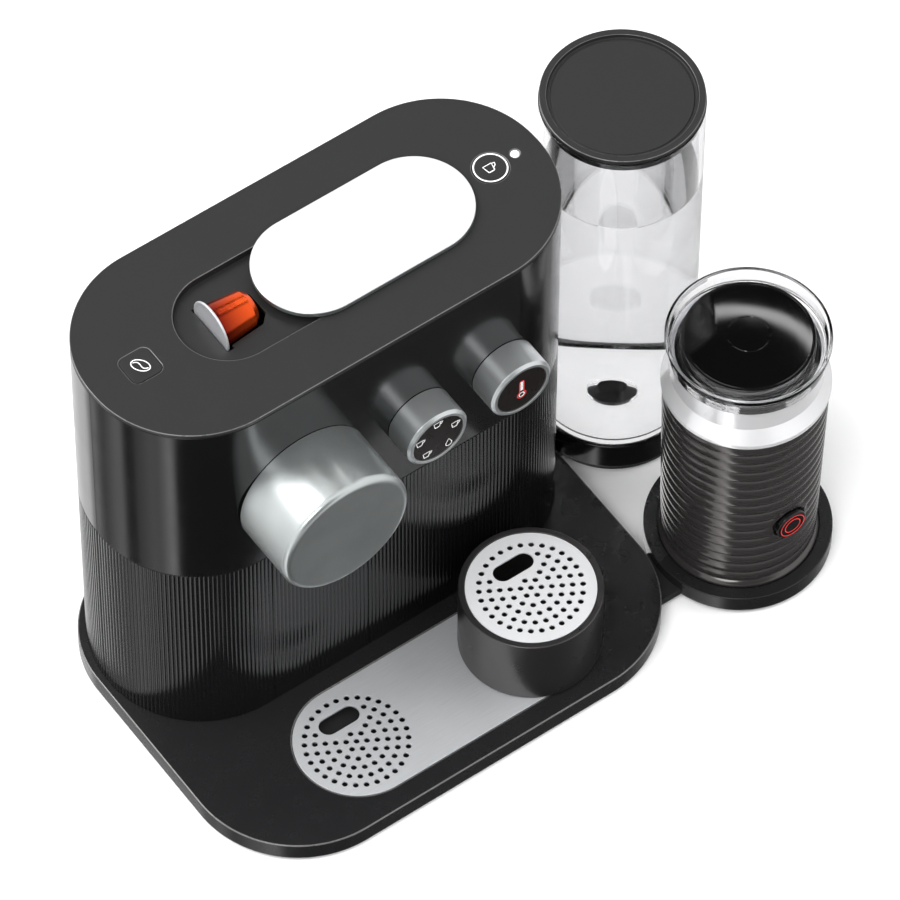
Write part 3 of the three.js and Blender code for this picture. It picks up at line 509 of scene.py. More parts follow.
# Finishes that vary only in gloss and fine relief: the material's name, colour, roughness, metallic and
# other sockets, then (size, detail, lowest, highest) of the gloss and (size, detail, height) of the relief.
PLAIN = {
    "gloss_black": ("piano_black", (12, 12, 13), 0.14, 0, {"IOR": 1.45}, (14, 3, 0.12, 0.17),
                    (6, 1, 0.004)),
    "satin_black": ("satin_black_plastic", (27, 27, 28), 0.26, 0, {"Specular_IOR_Level": 0.4},
                    (9, 3, 0.23, 0.29), (0.35, 2, 0.003)),
    "matt_black": ("matt_black_plastic", (26, 26, 27), 0.6, 0, {}, (7, 3, 0.55, 0.68), (0.4, 2, 0.02)),
    "lid_black": ("polished_black_lid", (6, 6, 6), 0.06, 0, {"IOR": 1.8}, (20, 2, 0.05, 0.08), None),
    "jug_black": ("jug_black_metallic", (88, 85, 84), 0.18, 0.75, {"IOR": 1.6}, (12, 3, 0.15, 0.2), None),
    "anthracite": ("anthracite_metal", (92, 90, 90), 0.3, 0.9, {}, (8, 3, 0.27, 0.33), (0.3, 2, 0.003)),
    # A lighter, partly metallic finish for the sloping top edges of dark parts: painted highlight lines along
    # the edges.
    "edge_painted_highlight": ("edge_painted_highlight", (118, 117, 116), 0.3, 0.6, {}, (6, 2, 0.24, 0.36), None),
    "warm_black": ("warm_black_lens", (24, 19, 18), 0.3, 0, {"Specular_IOR_Level": 0.3},
                   (5, 2, 0.26, 0.34), None),
    "clear_plastic": ("clear_plastic", (240, 240, 241), 0.02, 0, {"IOR": 1.46, "Transmission_Weight": 1.0},
                      (18, 3, 0.0, 0.035), (30, 1, 0.01)),
    "water": ("water", (240, 240, 240), 0.0, 0, {"IOR": 1.12, "Transmission_Weight": 1.0}, None,
              (30, 1, 0.006)),
    "rubber": ("rubber", (24, 24, 24), 0.82, 0, {}, None, (0.5, 3, 0.03)),
    "capsule_foil": ("capsule_foil_silver", (214, 215, 218), 0.42, 0.6, {}, (0.9, 3, 0.34, 0.5),
                     (1.4, 3, 0.04)),
    "white_light": ("white_light", (250, 250, 252), 0.35, 0,
                    {"Emission_Color": (1, 1, 1, 1), "Emission_Strength": 0.35}, (2, 2, 0.3, 0.4), None),
    "brass": ("brass", (184, 146, 84), 0.3, 1.0, {}, (3, 3, 0.24, 0.42), None),
    # The red ink is the print's own colour; its faint emission is a painted glow.
    "red_print_with_painted_glow": ("red_print_with_painted_glow", (214, 40, 36), 0.35, 0,
                  {"Emission_Color": (0.8, 0.03, 0.02, 1), "Emission_Strength": 0.15}, (1, 2, 0.3, 0.45),
                  None),
    "white_print": ("white_print", (238, 238, 238), 0.4, 0, {}, (1, 2, 0.34, 0.5), None),
}


def plain(name, base, roughness, metallic, sockets, gloss, relief):
    f = Finish(name, colour(*base), roughness, metallic, **sockets)
    if gloss:
        size, detail, low, high = gloss
        f.rough(f.noise(size, detail), low, high)
    if relief:
        size, detail, height = relief
        f.bump(f.noise(size, detail), height)
    return f


def dial_metal():
    f = Finish("dial_metal", colour(222, 226, 226), 0.28, 0.93)
    grain = f.noise(0.18, 2)
    f.rough(grain, 0.28, 0.4)
    return f.bump(grain, 0.006)


def frosted_floor_painted_glow():
    """The tank's milky floor, with a painted glow: its emission lifts the shade that the black dock casts on
    it.
    """
    f = Finish("frosted_floor_painted_glow", colour(236, 237, 238), 0.4, Emission_Color=(1, 1, 1, 1),
               Emission_Strength=0.8)
    f.tint(f.noise(14, 2), colour(226, 227, 228), colour(244, 244, 245))
    return f


def satin_grey():
    f = Finish("satin_grey_lacquer", colour(50, 49, 48), 0.4, 0.2)
    fleck = f.noise(0.22, 2)
    f.tint(fleck, colour(32, 32, 32), colour(42, 42, 42))
    f.rough(f.noise(12, 3), 0.36, 0.44)
    return f.bump(fleck, 0.006)


def satin_metal():
    f = Finish("blasted_metal", colour(212, 218, 217), 0.32, 0.95)
    grain = f.noise(0.18, 2)
    f.tint(f.noise(20, 2), colour(206, 212, 211), colour(218, 224, 223))
    f.rough(grain, 0.26, 0.38)
    return f.bump(grain, 0.008)


def brushed_steel():
    f = Finish("brushed_steel", colour(208, 210, 212), 0.45, 0.55)
    strokes = f.noise(0.3, 3, f.stretched(0.02, 1, 1))
    f.rough(strokes, 0.38, 0.5)
    f.tint(strokes, colour(204, 206, 208), colour(216, 218, 220))
    return f.bump(strokes, 0.003)


def neck_steel():
    f = Finish("neck_steel", colour(243, 243, 244), 0.22, 0.55)
    strokes = f.noise(0.3, 3, f.stretched(1, 1, 0.05))
    f.rough(strokes, 0.16, 0.26)
    return f


def grid_steel():
    f = Finish("grid_steel", colour(234, 235, 236), 0.45, 0.25)
    strokes = f.noise(0.3, 3, f.stretched(0.02, 1, 1))
    f.rough(strokes, 0.38, 0.5)
    return f.bump(strokes, 0.003)


def inner_steel():
    f = Finish("machined_steel", colour(176, 178, 180), 0.34, 1.0)
    f.rough(f.noise(0.5, 3, f.stretched(1, 1, 0.05)), 0.26, 0.42)
    return f


def polished_white():
    f = Finish("pearl_white", colour(194, 194, 196), 0.22, 0.0, Coat_Weight=0.2, Coat_Roughness=0.05)
    f.tint(f.noise(0.12, 2), colour(190, 190, 193), colour(198, 198, 200))
    f.rough(f.noise(25, 2), 0.12, 0.2)
    return f


def capsule_orange():
    """Anodised foil that goes from dark red at the rim to orange at the nose."""
    f = Finish("capsule_foil_orange", colour(215, 66, 24), 0.24, 0.85)
    low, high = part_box("capsule_cup")
    split = f.nodes.new("ShaderNodeSeparateXYZ")
    f.links.new(f.place, split.inputs["Vector"])
    along = f.spread(split.outputs["X"], 0, 1, low.x, high.x)
    f.tint(along, colour(120, 22, 12), colour(240, 88, 32), 0.0, 0.75)
    f.rough(f.noise(1.2, 3), 0.16, 0.26)
    return f.bump(f.noise(1.6, 2, f.stretched(0.35, 1, 1)), 0.012)


def circuit_board():
    f = Finish("circuit_board", colour(28, 96, 52), 0.45)
    traces = f.nodes.new("ShaderNodeTexBrick")
    traces.inputs["Scale"].default_value = 220
    traces.inputs["Color1"].default_value = colour(28, 96, 52)
    traces.inputs["Color2"].default_value = colour(24, 84, 46)
    traces.inputs["Mortar"].default_value = colour(150, 140, 80)
    f.links.new(f.place, traces.inputs["Vector"])
    f.links.new(traces.outputs["Color"], f.shader.inputs["Base Color"])
    return f


def floor_paint():
    f = Finish("studio_floor", (0.95, 0.95, 0.95, 1), 0.7, 0.0, Specular_IOR_Level=0.2)
    f.tint(f.noise(400, 2), (0.94, 0.94, 0.94, 1), (0.96, 0.96, 0.96, 1))
    return f


SPECIAL = (satin_grey, satin_metal, brushed_steel, inner_steel, dial_metal, grid_steel, neck_steel,
           frosted_floor_painted_glow, polished_white, capsule_orange, circuit_board)
MATERIALS = {name: plain(*look).material for name, look in PLAIN.items()}
MATERIALS |= {finish.__name__: finish().material for finish in SPECIAL}


def wear(piece, finish, nodes=(), body=None):
    """The piece gets its finish, rides on its body and stands for these nodes."""
    piece.data.materials.clear()
    piece.data.materials.append(MATERIALS[finish])
    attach(piece, body or frame["nodes"][nodes[0]]["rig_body"])
    if nodes:
        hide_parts(*nodes)
    return piece


def refinish(piece, finish, chosen):
    """Gives the chosen faces of a piece a second finish."""
    piece.data.materials.append(MATERIALS[finish])
    extra = len(piece.data.materials) - 1
    for face in piece.data.polygons:
        if chosen(face):
            face.material_index = extra
    return piece


def edge_of_top(height, span=0.9):
    """Chooses the sloping faces of a rim just under a height."""
    return lambda face: 0.2 < face.normal.z < 0.97 and face.center.z > MM * (height - span)


def turned_node(node, finish, profile, axes=UPRIGHT, place=None, **options):
    """A turned piece that stands for a node; by default it turns about an upright axis through the node's
    middle, with its heights measured from zero.
    """
    if place is None:
        middle = centre(node)
        place = Vector((middle.x, middle.y, 0))
    return wear(turned(node + "_look", profile, place, axes, **options), finish, [node])


def plate_node(node, finish, loops, low, high, edge=0.3):
    """A flat piece that stands for a node."""
    return wear(plate(node + "_look", loops, low, high, edge), finish, [node])


def wall_node(node, start, end, low, high, ribs=None):
    """A stretch of the body's wall that stands for a node."""
    return wear(wall(node + "_look", start, end, low, high, ribs), "gloss_black", [node])


# ---- base, drip plate and stand ----

def arm_cutter():
    """The space that the tank's arm swings through, under the base."""
    pivot = centre("arm_pivot_pin")
    dock = centre("tank_dock")
    heading = math.atan2(dock.y - pivot.y, dock.x - pivot.x)
    reach, side = 2 * BODY["corner"], ARM["hub"] + ARM["clearance"]
    spread = math.atan2(side, reach)
    swing = math.radians(ARM["swing"])
    loop = [(0, -side)] + arc(0, 0, math.hypot(reach, side), -spread, swing + spread, 40)
    loop += arc(0, 0, side, math.pi, 1.5 * math.pi, 24)[:-1]
    turn = Matrix.Rotation(heading, 2)
    moved = [turn @ Vector(p) for p in loop]
    loop = [(p.x + pivot.x, p.y + pivot.y) for p in moved]
    return plate("arm_cutter", [loop], -5, box("tank_arm")[1].z + 0.6, 0)


def bridge_cutter():
    low, high = box("frother_bridge")
    loop = [(low.x - 0.3, low.y - 0.3), (high.x, low.y - 0.3), (high.x, high.y + 0.3),
            (low.x - 0.3, high.y + 0.3)]
    return plate("bridge_cutter", [loop], -5, high.z + 0.3, 0)


def make_base():
    low, high = box("base_shell")
    side, rear = BASE["side"], BASE["rear"]
    outline = rounded_rectangle(-side, side, BASE["front"], rear, BASE["front_corner"], BODY["corner"], 48)
    well = stadium(PLATE["left"] - 0.3, PLATE["right"] + 0.3, PLATE["y"], PLATE["half"] + 0.3)
    upper = plate("base_upper", [from_body(outline), from_body(well)], low.z, high.z, 0.7)
    base = cut(upper, arm_cutter(), bridge_cutter())
    base.name = "base_shell_look"
    wear(base, "satin_black", ["base_shell"])
    # The base's sloping top edge takes the lighter edge finish: a painted highlight line.
    refinish(base, "edge_painted_highlight", edge_of_top(high.z, 1.2))
    floor = plate("base_well_floor", [from_body(stadium(PLATE["left"], PLATE["right"], PLATE["y"],
                                                        PLATE["half"]))],
                  low.z, box("drip_tray")[0].z - 0.3, 0)
    wear(floor, "satin_black", body="machine")
    for i in range(1, 5):
        node = f"base_foot_{i}"
        top = box(node)[1].z
        turned_node(node, "rubber", filleted([(0, 0), (9, 0, 0.6), (9, top, 0.3), (0, top)]), sides=64)
    low, high = box("arm_pivot_pin")
    turned_node("arm_pivot_pin", "inner_steel", filleted([
        (0, low.z), (9, low.z, 0.3), (9, low.z + 1, 0.2), (5, low.z + 1), (5, high.z, 0.5), (0, high.z)]),
        sides=64)
    low, high = box("frother_bridge")
    link = rounded_rectangle(low.x, high.x, low.y, high.y, 2, 2, 6)
    plate_node("frother_bridge", "matt_black", [link], low.z, high.z, 0.6)


def make_drip_plate():
    low, high = heights("drip_plate")
    outline = stadium(PLATE["left"], PLATE["right"], PLATE["y"], PLATE["half"], 64)
    loops = [outline] + grille_loops(centre("outlet_drum").x - BODY_X, PLATE["y"])
    plate_node("drip_plate", "brushed_steel", [from_body(loop) for loop in loops], low, high, 0.2)


def make_stand():
    middle = centre("stand_cup")
    low, high = heights("stand_cup")
    grid_low, grid_high = heights("stand_grid")
    seat = radius_of("stand_grid") + 0.3
    r = radius_of("stand_cup")
    turned_node("stand_cup", "anthracite", filleted([
        (0, low), (r - 0.6, low, 0.4), (r, low + 0.8, 0.5), (r, high, 0.6), (seat, high, 0.35),
        (seat, grid_low - 0.3),
        (seat - 2.3, grid_low - 0.3), (seat - 2.3, grid_low - 2), (r - 2.6, grid_low - 5),
        (r - 2.6, low + 3.6, 1),
        (0, low + 3.6)]))
    loops = [circle(middle.x, middle.y, seat - 0.3, 128)] + grille_loops(middle.x, middle.y)
    plate_node("stand_grid", "grid_steel", loops, grid_low, grid_high, 0.2)


# ---- body ----

def make_shells():
    low, high = heights("front_shell")
    wall_node("front_shell", -SEAM + SEAM_GAP, SEAM - SEAM_GAP, low, high)
    wall_node("rear_shell", SEAM + SEAM_GAP, AROUND - SEAM - SEAM_GAP, low, high)


def make_skirt():
    low, high = heights("skirt_rear")
    left = box("drawer_front")[0].x - BODY_X
    right = box("drawer_front")[1].x - BODY_X
    wall_node("skirt_front_left", -SEAM + SEAM_GAP, left - 2 * SEAM_GAP, low, high, RIB)
    wall_node("drawer_front", left, right, low, high, RIB)
    wall_node("skirt_front_right", right + 2 * SEAM_GAP, SEAM - SEAM_GAP, low, high, RIB)
    rear = wall("skirt_rear_plain", SEAM + SEAM_GAP, AROUND - SEAM - SEAM_GAP, low, high, RIB)
    start, end = box("power_inlet")
    window = rounded_rectangle(start.x - 0.3, end.x + 0.3, start.y - 10, end.y + 10, 0.1, 0.1, 1)
    rear = cut(rear, plate("inlet_cutter", [window], start.z - 0.3, end.z + 0.3, 0))
    rear.name = "skirt_rear_look"
    wear(rear, "gloss_black", ["skirt_rear"])


def make_inlet():
    """A rounded socket with a hollow and three flat pins."""
    start, end = box("power_inlet")
    x, z = (start.x + end.x) / 2, (start.z + end.z) / 2
    half_x, half_z = (end.x - start.x) / 2, (end.z - start.z) / 2
    outline = rounded_rectangle(-half_x, half_x, -half_z, half_z, 2, 2, 8)
    hollow = rounded_rectangle(-half_x + 3, half_x - 3, -half_z + 3, half_z - 3, 3.5, 1.5, 8)
    ring = plate("inlet_ring", [outline, hollow], 0, end.y - start.y, 0.4)
    back = plate("inlet_back", [outline], 0, 1.5, 0)
    pins = [plate("inlet_pin", [rounded_rectangle(px - 1, px + 1, pz - 2, pz + 2, 0.4, 0.4, 4)], 1.4, 6.6,
                  0.2)
            for px, pz in ((-6, -1), (0, 2), (6, -1))]
    backwards = Matrix(((-1, 0, 0), (0, 0, 1), (0, 1, 0))).to_4x4()
    place = Matrix.Translation(MM * Vector((x, start.y, z))) @ backwards
    for part in (ring, back, *pins):
        part.data.transform(place)
    wear(joined("power_inlet_look", ring, back), "matt_black", ["power_inlet"])
    wear(joined("power_inlet_pins", *pins), "inner_steel", body="machine")


# ---- top ----

def capsule_slot():
    """The hole in the track's floor: narrow for the rim, then tapered for the cup."""
    rim, cup = box("capsule_rim"), box("capsule_cup")
    left, right = rim[0].x - 0.8, cup[1].x + 4
    step = cup[0].x + 2
    y = centre("capsule_cup").y
    half = radius_of_side("capsule_rim") + 0.8
    waist = radius_of_side("capsule_cup") + 1.4
    tip = waist - 1.8
    return [(left, y - half), (step, y - half), (step, y - waist), (right - 5, y - tip),
            (right, y - tip + 5),
            (right, y + tip - 5), (right - 5, y + tip), (step, y + waist), (step, y + half),
            (left, y + half)]


def make_top():
    low, high = box("top_plate")[0].z, PLATE_TOP
    opening = from_body(stadium(TRACK["left"], TRACK["right"], 0, TRACK["half"], 64))
    key, lamp, badge = centre("coffee_button"), centre("status_light"), centre("badge")
    reach = BADGE["half"] + 0.3
    recess = rounded_rectangle(badge.x - reach, badge.x + reach, badge.y - reach, badge.y + reach,
                               BADGE["corner"] + 0.3, BADGE["corner"] + 0.3, 12)
    holes = [opening, circle(key.x, key.y, radius_of("coffee_button") + 0.3),
             circle(lamp.x, lamp.y, 2.7, 48), recess]
    top = plate_node("top_plate", "satin_grey", [from_body(body_outline()), *holes], low, high, 0.45)
    # The top plate's sloping edge takes the lighter edge finish: a painted highlight line.
    refinish(top, "edge_painted_highlight", edge_of_top(high))
    wall_thickness = TRACK["wall"]
    outer = stadium(TRACK["left"] - wall_thickness, TRACK["right"] + wall_thickness, 0,
                    TRACK["half"] + wall_thickness, 64)
    tray_low, tray_high = heights("track_tray")
    plate_node("track_tray", "satin_grey", [from_body(outer), capsule_slot()], tray_low, TRACK["floor"],
               0.15)
    # The recess wall is matt black: painted shade, a dark line along the edge of the recess.
    side = plate("tray_side_painted_shade", [from_body(outer), opening], TRACK["floor"] - 0.3, tray_high, 0.1)
    wear(side, "matt_black", body="machine")


def make_badge():
    badge = centre("badge")
    low, high = heights("badge")
    half, corner = BADGE["half"], BADGE["corner"]
    outline = rounded_rectangle(badge.x - half, badge.x + half, badge.y - half, badge.y + half, corner,
                                corner, 12)
    plate_node("badge", "satin_grey", [outline], low - 0.6, high)
    bean = [(5.2 * math.cos(a) * 0.62, 5.2 * math.sin(a)) for a in (TURN * i / 48 for i in range(48))]
    crease = [(1.1 * math.sin(math.pi * t / 4.4), t) for t in (-4.4 + 8.8 * i / 24 for i in range(25))]
    tilt = Matrix.Rotation(math.radians(35), 2)
    bean, crease = ([tuple(tilt @ Vector(p)) for p in line] for line in (bean, crease))
    strokes = [(bean, 0.55, True), (crease, 0.5, False)]
    mark = ribbon("badge_mark", strokes, Vector((badge.x, badge.y, high)), UPRIGHT, 0.05)
    wear(mark, "white_print", body="machine")


def make_lid():
    low, high = heights("sliding_lid")
    sheet = stadium(LID["left"], LID["right"], 0, LID["half"], 64)
    cover = plate_node("sliding_lid", "polished_white", [from_body(sheet)], low, high, 0.55)
    # The lid's sides take the grey satin metal: a painted reflection, standing in for the grey band along the
    # white lid's edge.
    refinish(cover, "satin_metal", lambda face: face.normal.z <= 0.9)
    low, high = heights("lid_carriage")
    runner = stadium(LID["left"] + CARRIAGE_SETBACK, LID["right"] - CARRIAGE_SETBACK, 0, TRACK["half"] - 2)
    plate_node("lid_carriage", "matt_black", [from_body(runner)], low, high, 0.4)


def cup_strokes(x, y, size, width=0.5):
    """A cup, wide at its rim, with a pointed handle at its upper right."""
    half, deep = 0.48 * size, 0.42 * size
    bowl = filleted([(-half, deep), (-0.66 * half, -deep, 0.12 * size), (0.66 * half, -deep, 0.12 * size),
                     (half, deep)], 5)
    handle = [(0.97 * half, 0.84 * deep), (1.62 * half, 0.72 * deep), (1.4 * half, 0.1 * deep),
              (0.82 * half, -0.3 * deep)]
    return [([(x + px, y + py) for px, py in line], width, closed)
            for line, closed in ((bowl, True), (handle, False))]


def make_button():
    middle = centre("coffee_button")
    low, high = heights("coffee_button")
    r = radius_of("coffee_button")
    collar = box("top_plate")[0].z
    turned_node("coffee_button", "satin_grey", filleted([
        (0, low), (3, low, 0.4), (3, collar), (r, collar, 0.3), (r, high, 0.35), (r - 1.6, high),
        (r - 1.9, high - 0.12), (r - 2.2, high), (0, high)]), sides=96)
    top = Vector((middle.x, middle.y, high))
    marks = [(circle(0, 0, r - 0.75, 96), 0.8, True)] + cup_strokes(-0.6, 0, 5.6, 0.55)
    wear(ribbon("coffee_button_mark", marks, top, UPRIGHT, 0.045), "white_print", body="coffee_key")
    low, high = heights("status_light")
    turned_node("status_light", "white_light", filleted([
        (0, low), (2.4, low), (2.4, high, 0.9), (0, high)]), sides=64)


# ---- front ----

def make_outlet():
    middle = centre("outlet_drum")
    rear = box("outlet_drum")[1].y
    r = radius_of("outlet_drum")
    reach = rear - box("outlet_drum")[0].y
    place = Vector((middle.x, rear, middle.z))
    turned_node("outlet_drum", "satin_metal", filleted([
        (0, 0), (r, 0), (r, reach, DRUM_EDGE), (0, reach)], 8), FORWARD, place, sides=192)
    low, high = heights("coffee_spout")
    turned_node("coffee_spout", "matt_black", filleted([
        (3, high), (3, low, 0.5), (7, low, 0.6), (7, high), (3, high)]), sides=64)


def make_dial(name):
    ring, face = f"{name}_ring", f"{name}_face"
    middle = centre(ring)
    rear = box(ring)[1].y
    r = radius_of(ring)
    reach = rear - box(ring)[0].y
    bore = r - DIAL_RING
    place = Vector((middle.x, rear, middle.z))
    turned_node(ring, "dial_metal", filleted([
        (bore, 0.05), (r, 0.05), (r, reach - 1.6, 0.5), (r - 1.5, reach, 0.4), (bore, reach, 0.25),
        (bore, 0.05)], 4),
        FORWARD, place)
    front = rear - box(face)[0].y
    turned_node(face, "warm_black", filleted([
        (0, 0.2), (bore - 0.3, 0.2), (bore - 0.3, front, 0.4), (0, front)], 4), FORWARD, place)
    return Vector((middle.x, box(face)[0].y, middle.z))


def make_dials():
    place = make_dial("size_dial")
    strokes = []
    for i, angle in enumerate(range(90, -270, -72)):
        a = math.radians(angle)
        x, y = 11.7 * math.cos(a), 11.7 * math.sin(a)
        if i == 2:
            tip = [(0, 3.4)] + arc(0, -0.6, 1.9, math.radians(25), math.radians(-205), 20)
            strokes.append(([(x + px, y + py) for px, py in tip], 0.42, True))
        else:
            strokes += cup_strokes(x - 0.5, y, 4.4)
    wear(ribbon("size_dial_mark", strokes, place, FORWARD, 0.06), "white_print", body="size_dial")

    place = make_dial("temp_dial")
    stem = arc(0, 6.0, 1.35, 0, math.pi, 14)
    bulb = arc(0, -4.4, 2.7, math.radians(120), math.radians(420), 36)
    outline = ribbon("temp_dial_outline", [(stem + bulb, 0.55, True)], place, FORWARD, 0.06)
    wear(outline, "red_print_with_painted_glow", body="temp_dial")
    bars = [([(-0.85, y), (0.85, y)], 1.15, False) for y in (5.9, 4.4, 2.9, 1.4, -0.1)]
    bars.append((circle(0, -4.4, 1.6, 32), 0.55, True))
    wear(ribbon("temp_dial_mark", bars, place, FORWARD, 0.06), "white_print", body="temp_dial")


# ---- capsule ----

def make_capsule():
    middle = centre("capsule_rim")
    r = radius_of_side("capsule_rim")
    place = Vector((box("capsule_rim")[0].x, middle.y, middle.z))
    turned_node("capsule_rim", "capsule_foil", filleted([
        (0, 0.35), (r * 0.35, 0.42), (r * 0.7, 0.3), (r - 2.4, 0.25, 0.5), (r - 1.6, 0), (r, 0, 0.6),
        (r, 1.4, 0.6),
        (r - 1.2, 1.4), (r - 1.6, 1.25), (0, 1.25)]), ACROSS, place)
    low, high = box("capsule_cup")
    length = high.x - low.x
    cup = radius_of_side("capsule_cup")
    shoulder, nose = cup - 2.2, CAPSULE_NOSE
    place = Vector((low.x, middle.y, middle.z))
    turned_node("capsule_cup", "capsule_orange", filleted([
        (0, 0), (cup, 0, 0.3), (cup - 0.35, 2.2, 0.8), (shoulder, length - 3.6, 0.9),
        (nose, length - 0.8, 0.7),
        (nose - 1.2, length, 0.5), (nose - 2.4, length - 0.5, 0.4), (0, length - 0.3)]), ACROSS, place)


# ---- tank ----

def make_arm():
    pivot, dock = centre("arm_pivot_pin"), centre("tank_dock")
    low, high = heights("tank_arm")
    length = math.hypot(dock.x - pivot.x, dock.y - pivot.y)
    heading = math.atan2(dock.y - pivot.y, dock.x - pivot.x)
    end, hub, half = ARM["end"], ARM["hub"], ARM["half"]
    open_end, open_hub = math.asin(half / end), math.asin(half / hub)
    loop = arc(length, 0, end, -math.pi + open_end, math.pi - open_end, 80)
    loop += arc(0, 0, hub, open_hub, TURN - open_hub, 48)
    turn = Matrix.Rotation(heading, 2)
    moved = [turn @ Vector(p) for p in loop]
    loop = [(p.x + pivot.x, p.y + pivot.y) for p in moved]
    plate_node("tank_arm", "matt_black", [loop, circle(pivot.x, pivot.y, 5.3, 48)], low, high, 0.4)
    high = box("arm_foot")[1].z
    turned_node("arm_foot", "rubber", filleted([(26, high), (26, 0, 0.5), (34, 0, 0.5), (34, high),
                                                (26, high)]))


def make_dock():
    r = radius_of("tank_dock")
    low = box("tank_dock")[0].z
    top = low + DOCK["depth"]
    seat = low + DOCK["seat"]
    bore = r - DOCK["wall"]
    turned_node("tank_dock", "gloss_black", filleted([
        (0, low), (r - 0.8, low, 0.3), (r, low + 0.8, 0.5), (r, top, 0.7), (bore, top, 0.6),
        (bore, seat, 0.8),
        (5.5, seat), (5.5, seat + 3, 0.6), (0, seat + 3)]), sides=192)


def make_tank():
    r = radius_of("tank_body")
    bore = r - TANK["wall"]
    low, high = heights("tank_body")
    under, floor, valve, water_top = TANK["under"], TANK["floor"], TANK["valve"], TANK["water_top"]
    tank = turned_node("tank_body", "clear_plastic", filleted([
        (valve, under), (bore - 1.5, under), (bore - 0.6, under - 1.2, 0.5), (bore - 0.6, low + 0.4),
        (bore - 0.2, low),
        (r - 0.3, low), (r, low + 0.4), (r, high, 0.4), (bore, high, 0.4), (bore, floor, 2.5),
        (valve, floor, 0.4),
        (valve, under)]), sides=192)
    # The tank's floor takes the milky finish with its painted glow.
    refinish(tank, "frosted_floor_painted_glow", lambda face: face.normal.z > 0.9 and MM * 26 < face.center.z < MM * 30)
    middle = centre("tank_body")
    fill = turned("tank_water", filleted([
        (valve + 2.4, floor - 0.05), (bore - 2.2, floor - 0.05), (bore + 0.12, floor + 2.4, 2.0),
        (bore + 0.12, water_top + 1.1), (bore - 0.9, water_top + 0.25, 1.0), (bore - 2.6, water_top),
        (0, water_top), (0, floor + 7.2), (6.2, floor + 7.2), (valve + 2.4, floor + 3.2),
        (valve + 2.4, floor - 0.05)]),
        Vector((middle.x, middle.y, 0)), sides=192)
    wear(fill, "water", body="tank")
    low = box("tank_valve")[0].z
    turned_node("tank_valve", "matt_black", filleted([
        (0, low), (6, low, 0.5), (8, under), (8, floor + 0.3), (10.5, floor + 0.3, 0.3),
        (10.5, floor + 3, 0.8),
        (6, floor + 7, 1), (0, floor + 7)]), sides=96)


def make_tank_lid():
    r = radius_of("tank_lid")
    top = box("tank_lid")[1].z
    plate_low, panel = top - 3, top - 1.6
    inner = r - 3.8
    skirt = r - 2.5
    skirt_low = box("tank_lid")[0].z
    lid = turned_node("tank_lid", "satin_grey", filleted([
        (0, plate_low), (skirt - 1.8, plate_low), (skirt - 1.8, skirt_low, 0.3), (skirt, skirt_low, 0.3),
        (skirt, plate_low), (r, plate_low, 0.3), (r, top, 0.5), (inner, top, 0.3),
        (inner - 0.6, panel - 0.6, 0.5),
        (inner - 2.1, panel - 0.6, 0.5), (inner - 2.5, panel, 0.25), (0, panel)]), sides=192)
    refinish(lid, "matt_black", lambda face: face.center.z < MM * plate_low)
    # The lid's sloping top edge takes the lighter edge finish: a painted highlight line.
    refinish(lid, "edge_painted_highlight", edge_of_top(top))


# ---- frother ----

def make_frother_base():
    r = radius_of("frother_base")
    low = box("frother_base")[0].z
    top, seat, bowl, hub = (FROTHER_BASE[key] for key in ("top", "seat", "bowl", "hub"))
    turned_node("frother_base", "satin_black", filleted([
        (0, low), (r - 0.8, low, 0.3), (r, low + 0.9, 0.5), (r, top, 0.6), (bowl, top, 0.4), (bowl, seat),
        (hub, seat), (hub, top + 4, 0.4), (hub - 2, top + 5, 0.5), (0, top + 5)]), sides=192)
    high = box("frother_foot")[1].z
    turned_node("frother_foot", "rubber", filleted([(30, high), (30, 0, 0.5), (46, 0, 0.5), (46, high),
                                                    (30, high)]))


def ribbed_side(low, high, low_radius, high_radius):
    """The jug's side: rounded ribs with narrow grooves, tapering from one radius to the other."""
    count = round((high - low) / JUG_RIB["pitch"])
    points = []
    for i in range(count):
        for u in (0, 0.06, 0.14, 0.26, 0.4, 0.55, 0.7, 0.82, 0.91, 0.97):
            part = (i + u) / count
            bulge = 1 - abs(2 * u - 1) ** 2.2
            radius = low_radius + (high_radius - low_radius) * part
            points.append((radius - JUG_RIB["depth"] * (1 - bulge), low + (high - low) * part))
    points.append((high_radius - JUG_RIB["depth"], high))
    return points


def button_sink(piece, middle, node):
    """Presses the ribs flat about the button, as a round boss with a soft edge and a hole in it."""
    place = centre(node)
    for vertex in piece.data.vertices:
        p = vertex.co / MM
        away = math.hypot(p.x - place.x, p.z - place.z)
        if p.y > middle.y - SINK["front"] or away > SINK["reach"]:
            continue
        out = Vector((p.x - middle.x, p.y - middle.y))
        inside = SINK["reach"] - away
        share = min(1, max(0, inside / SINK["blend"]))
        share = share * share * (3 - 2 * share)
        target = min(SINK["boss"] + SINK["slope"] * inside, SINK["boss_limit"])
        radius = out.length + (target - out.length) * share
        if away < SINK["hole"]:
            radius = SINK["floor"]
        out = out.normalized() * radius
        vertex.co = MM * Vector((middle.x + out.x, middle.y + out.y, p.z))


